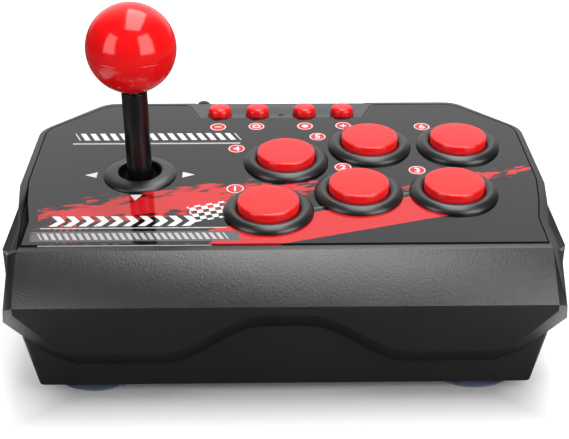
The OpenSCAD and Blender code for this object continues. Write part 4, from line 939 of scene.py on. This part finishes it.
# %% Soft boxes
def soft_box(name, centre, aim, width, height, radiance):
    """A rectangular lamp of even brightness that faces a point, or straight down without one."""
    lamp = bpy.data.lights.new(name, "AREA")
    lamp.shape = "RECTANGLE"
    lamp.size = width
    lamp.size_y = height
    lamp.energy = radiance * width * height * pi
    holder = bpy.data.objects.new(name, lamp)
    holder.location = centre
    if aim:
        holder.rotation_euler = (Vector(centre) - Vector(aim)).to_track_quat("Z", "Y").to_euler()
    bpy.context.scene.collection.objects.link(holder)


BOX_HEIGHT = 0.55
BOX_AIM = (-0.06, 0, BOX_HEIGHT)
soft_box("top_box", (0.15, 0.13, 1.12), None, 0.64, 1.3, 5.4)
soft_box("left_box", (-0.83, -0.65, BOX_HEIGHT), BOX_AIM, 0.55, 0.9, 3.4)
soft_box("right_box", (0.68, -0.67, BOX_HEIGHT), BOX_AIM, 0.66, 0.95, 4.2)
print("lights", len(bpy.data.lights))

# %% [markdown]
# The room is dark but for its rear, whose light gives the film its grey sheen when it is seen from the
# front. The camera itself sees white all round, so that no view has a dark horizon.

# %% Room
room = bpy.data.worlds.new("white_room")
bpy.context.scene.world = room
room.use_nodes = True
tree = room.node_tree
sky = tree.nodes["Background"]
facing = add_node(tree, "SeparateXYZ", Vector=add_node(tree, "TexCoord").outputs["Generated"]).outputs
middle = spread(tree, calc(tree, "ABSOLUTE", facing[0]), 0.4, 0.75, 1.0, 0.12)
rear = spread(tree, facing[1], 0.02, 0.75, 0.04, 0.96)
lit = calc(tree, "MULTIPLY", rear, middle)
backdrop = add_node(tree, "LightPath").outputs["Is Camera Ray"]
tree.links.new(calc(tree, "MAXIMUM", lit, backdrop), sky.inputs["Strength"])
sky.inputs["Color"].default_value = (1, 1, 1, 1)
bpy.context.scene.view_settings.view_transform = "Standard"
print("room", room.name)

# %% [markdown]
# ## What stays as CAD
# The parts inside and the small hardware have their true shape already. They keep their mesh and get the
# finishes. A node takes the first finish whose key is in its name, which is why screws come before boards.

# %% Finishes of the CAD nodes
KEPT = {
    "graphic_overlay": printed_film, "foot": suction_rubber, "screws": zinc_screw, "board": board_green,
    "switch": switch_black, "status_light": lens_dark, "stick_shaft": ground_steel,
    "shaft_clip": ground_steel, "pivot_hub": nylon, "gimbal_ring": nylon, "centring_cup": nylon,
    "actuator": nylon, "stick_bracket": bracket_black, "restrictor_gate": bracket_black,
    "strain_relief": cord_black, "usb_plug_body": cord_black, "usb_plug_shell": plug_tin,
}
finished = 0
for name, node in nodes.items():
    found = [finish for key, finish in KEPT.items() if key in name]
    if node.hide_render or not found:
        continue
    finished += 1
    for slot in node.material_slots:
        slot.material = found[0]
print(finished, "CAD nodes finished")

# %% [markdown]
# It stands for the two CAD solids of the cord.

cord.data.materials.append(cord_black)
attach(cord, "housing")
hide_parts("usb_cord", "cord_coil")
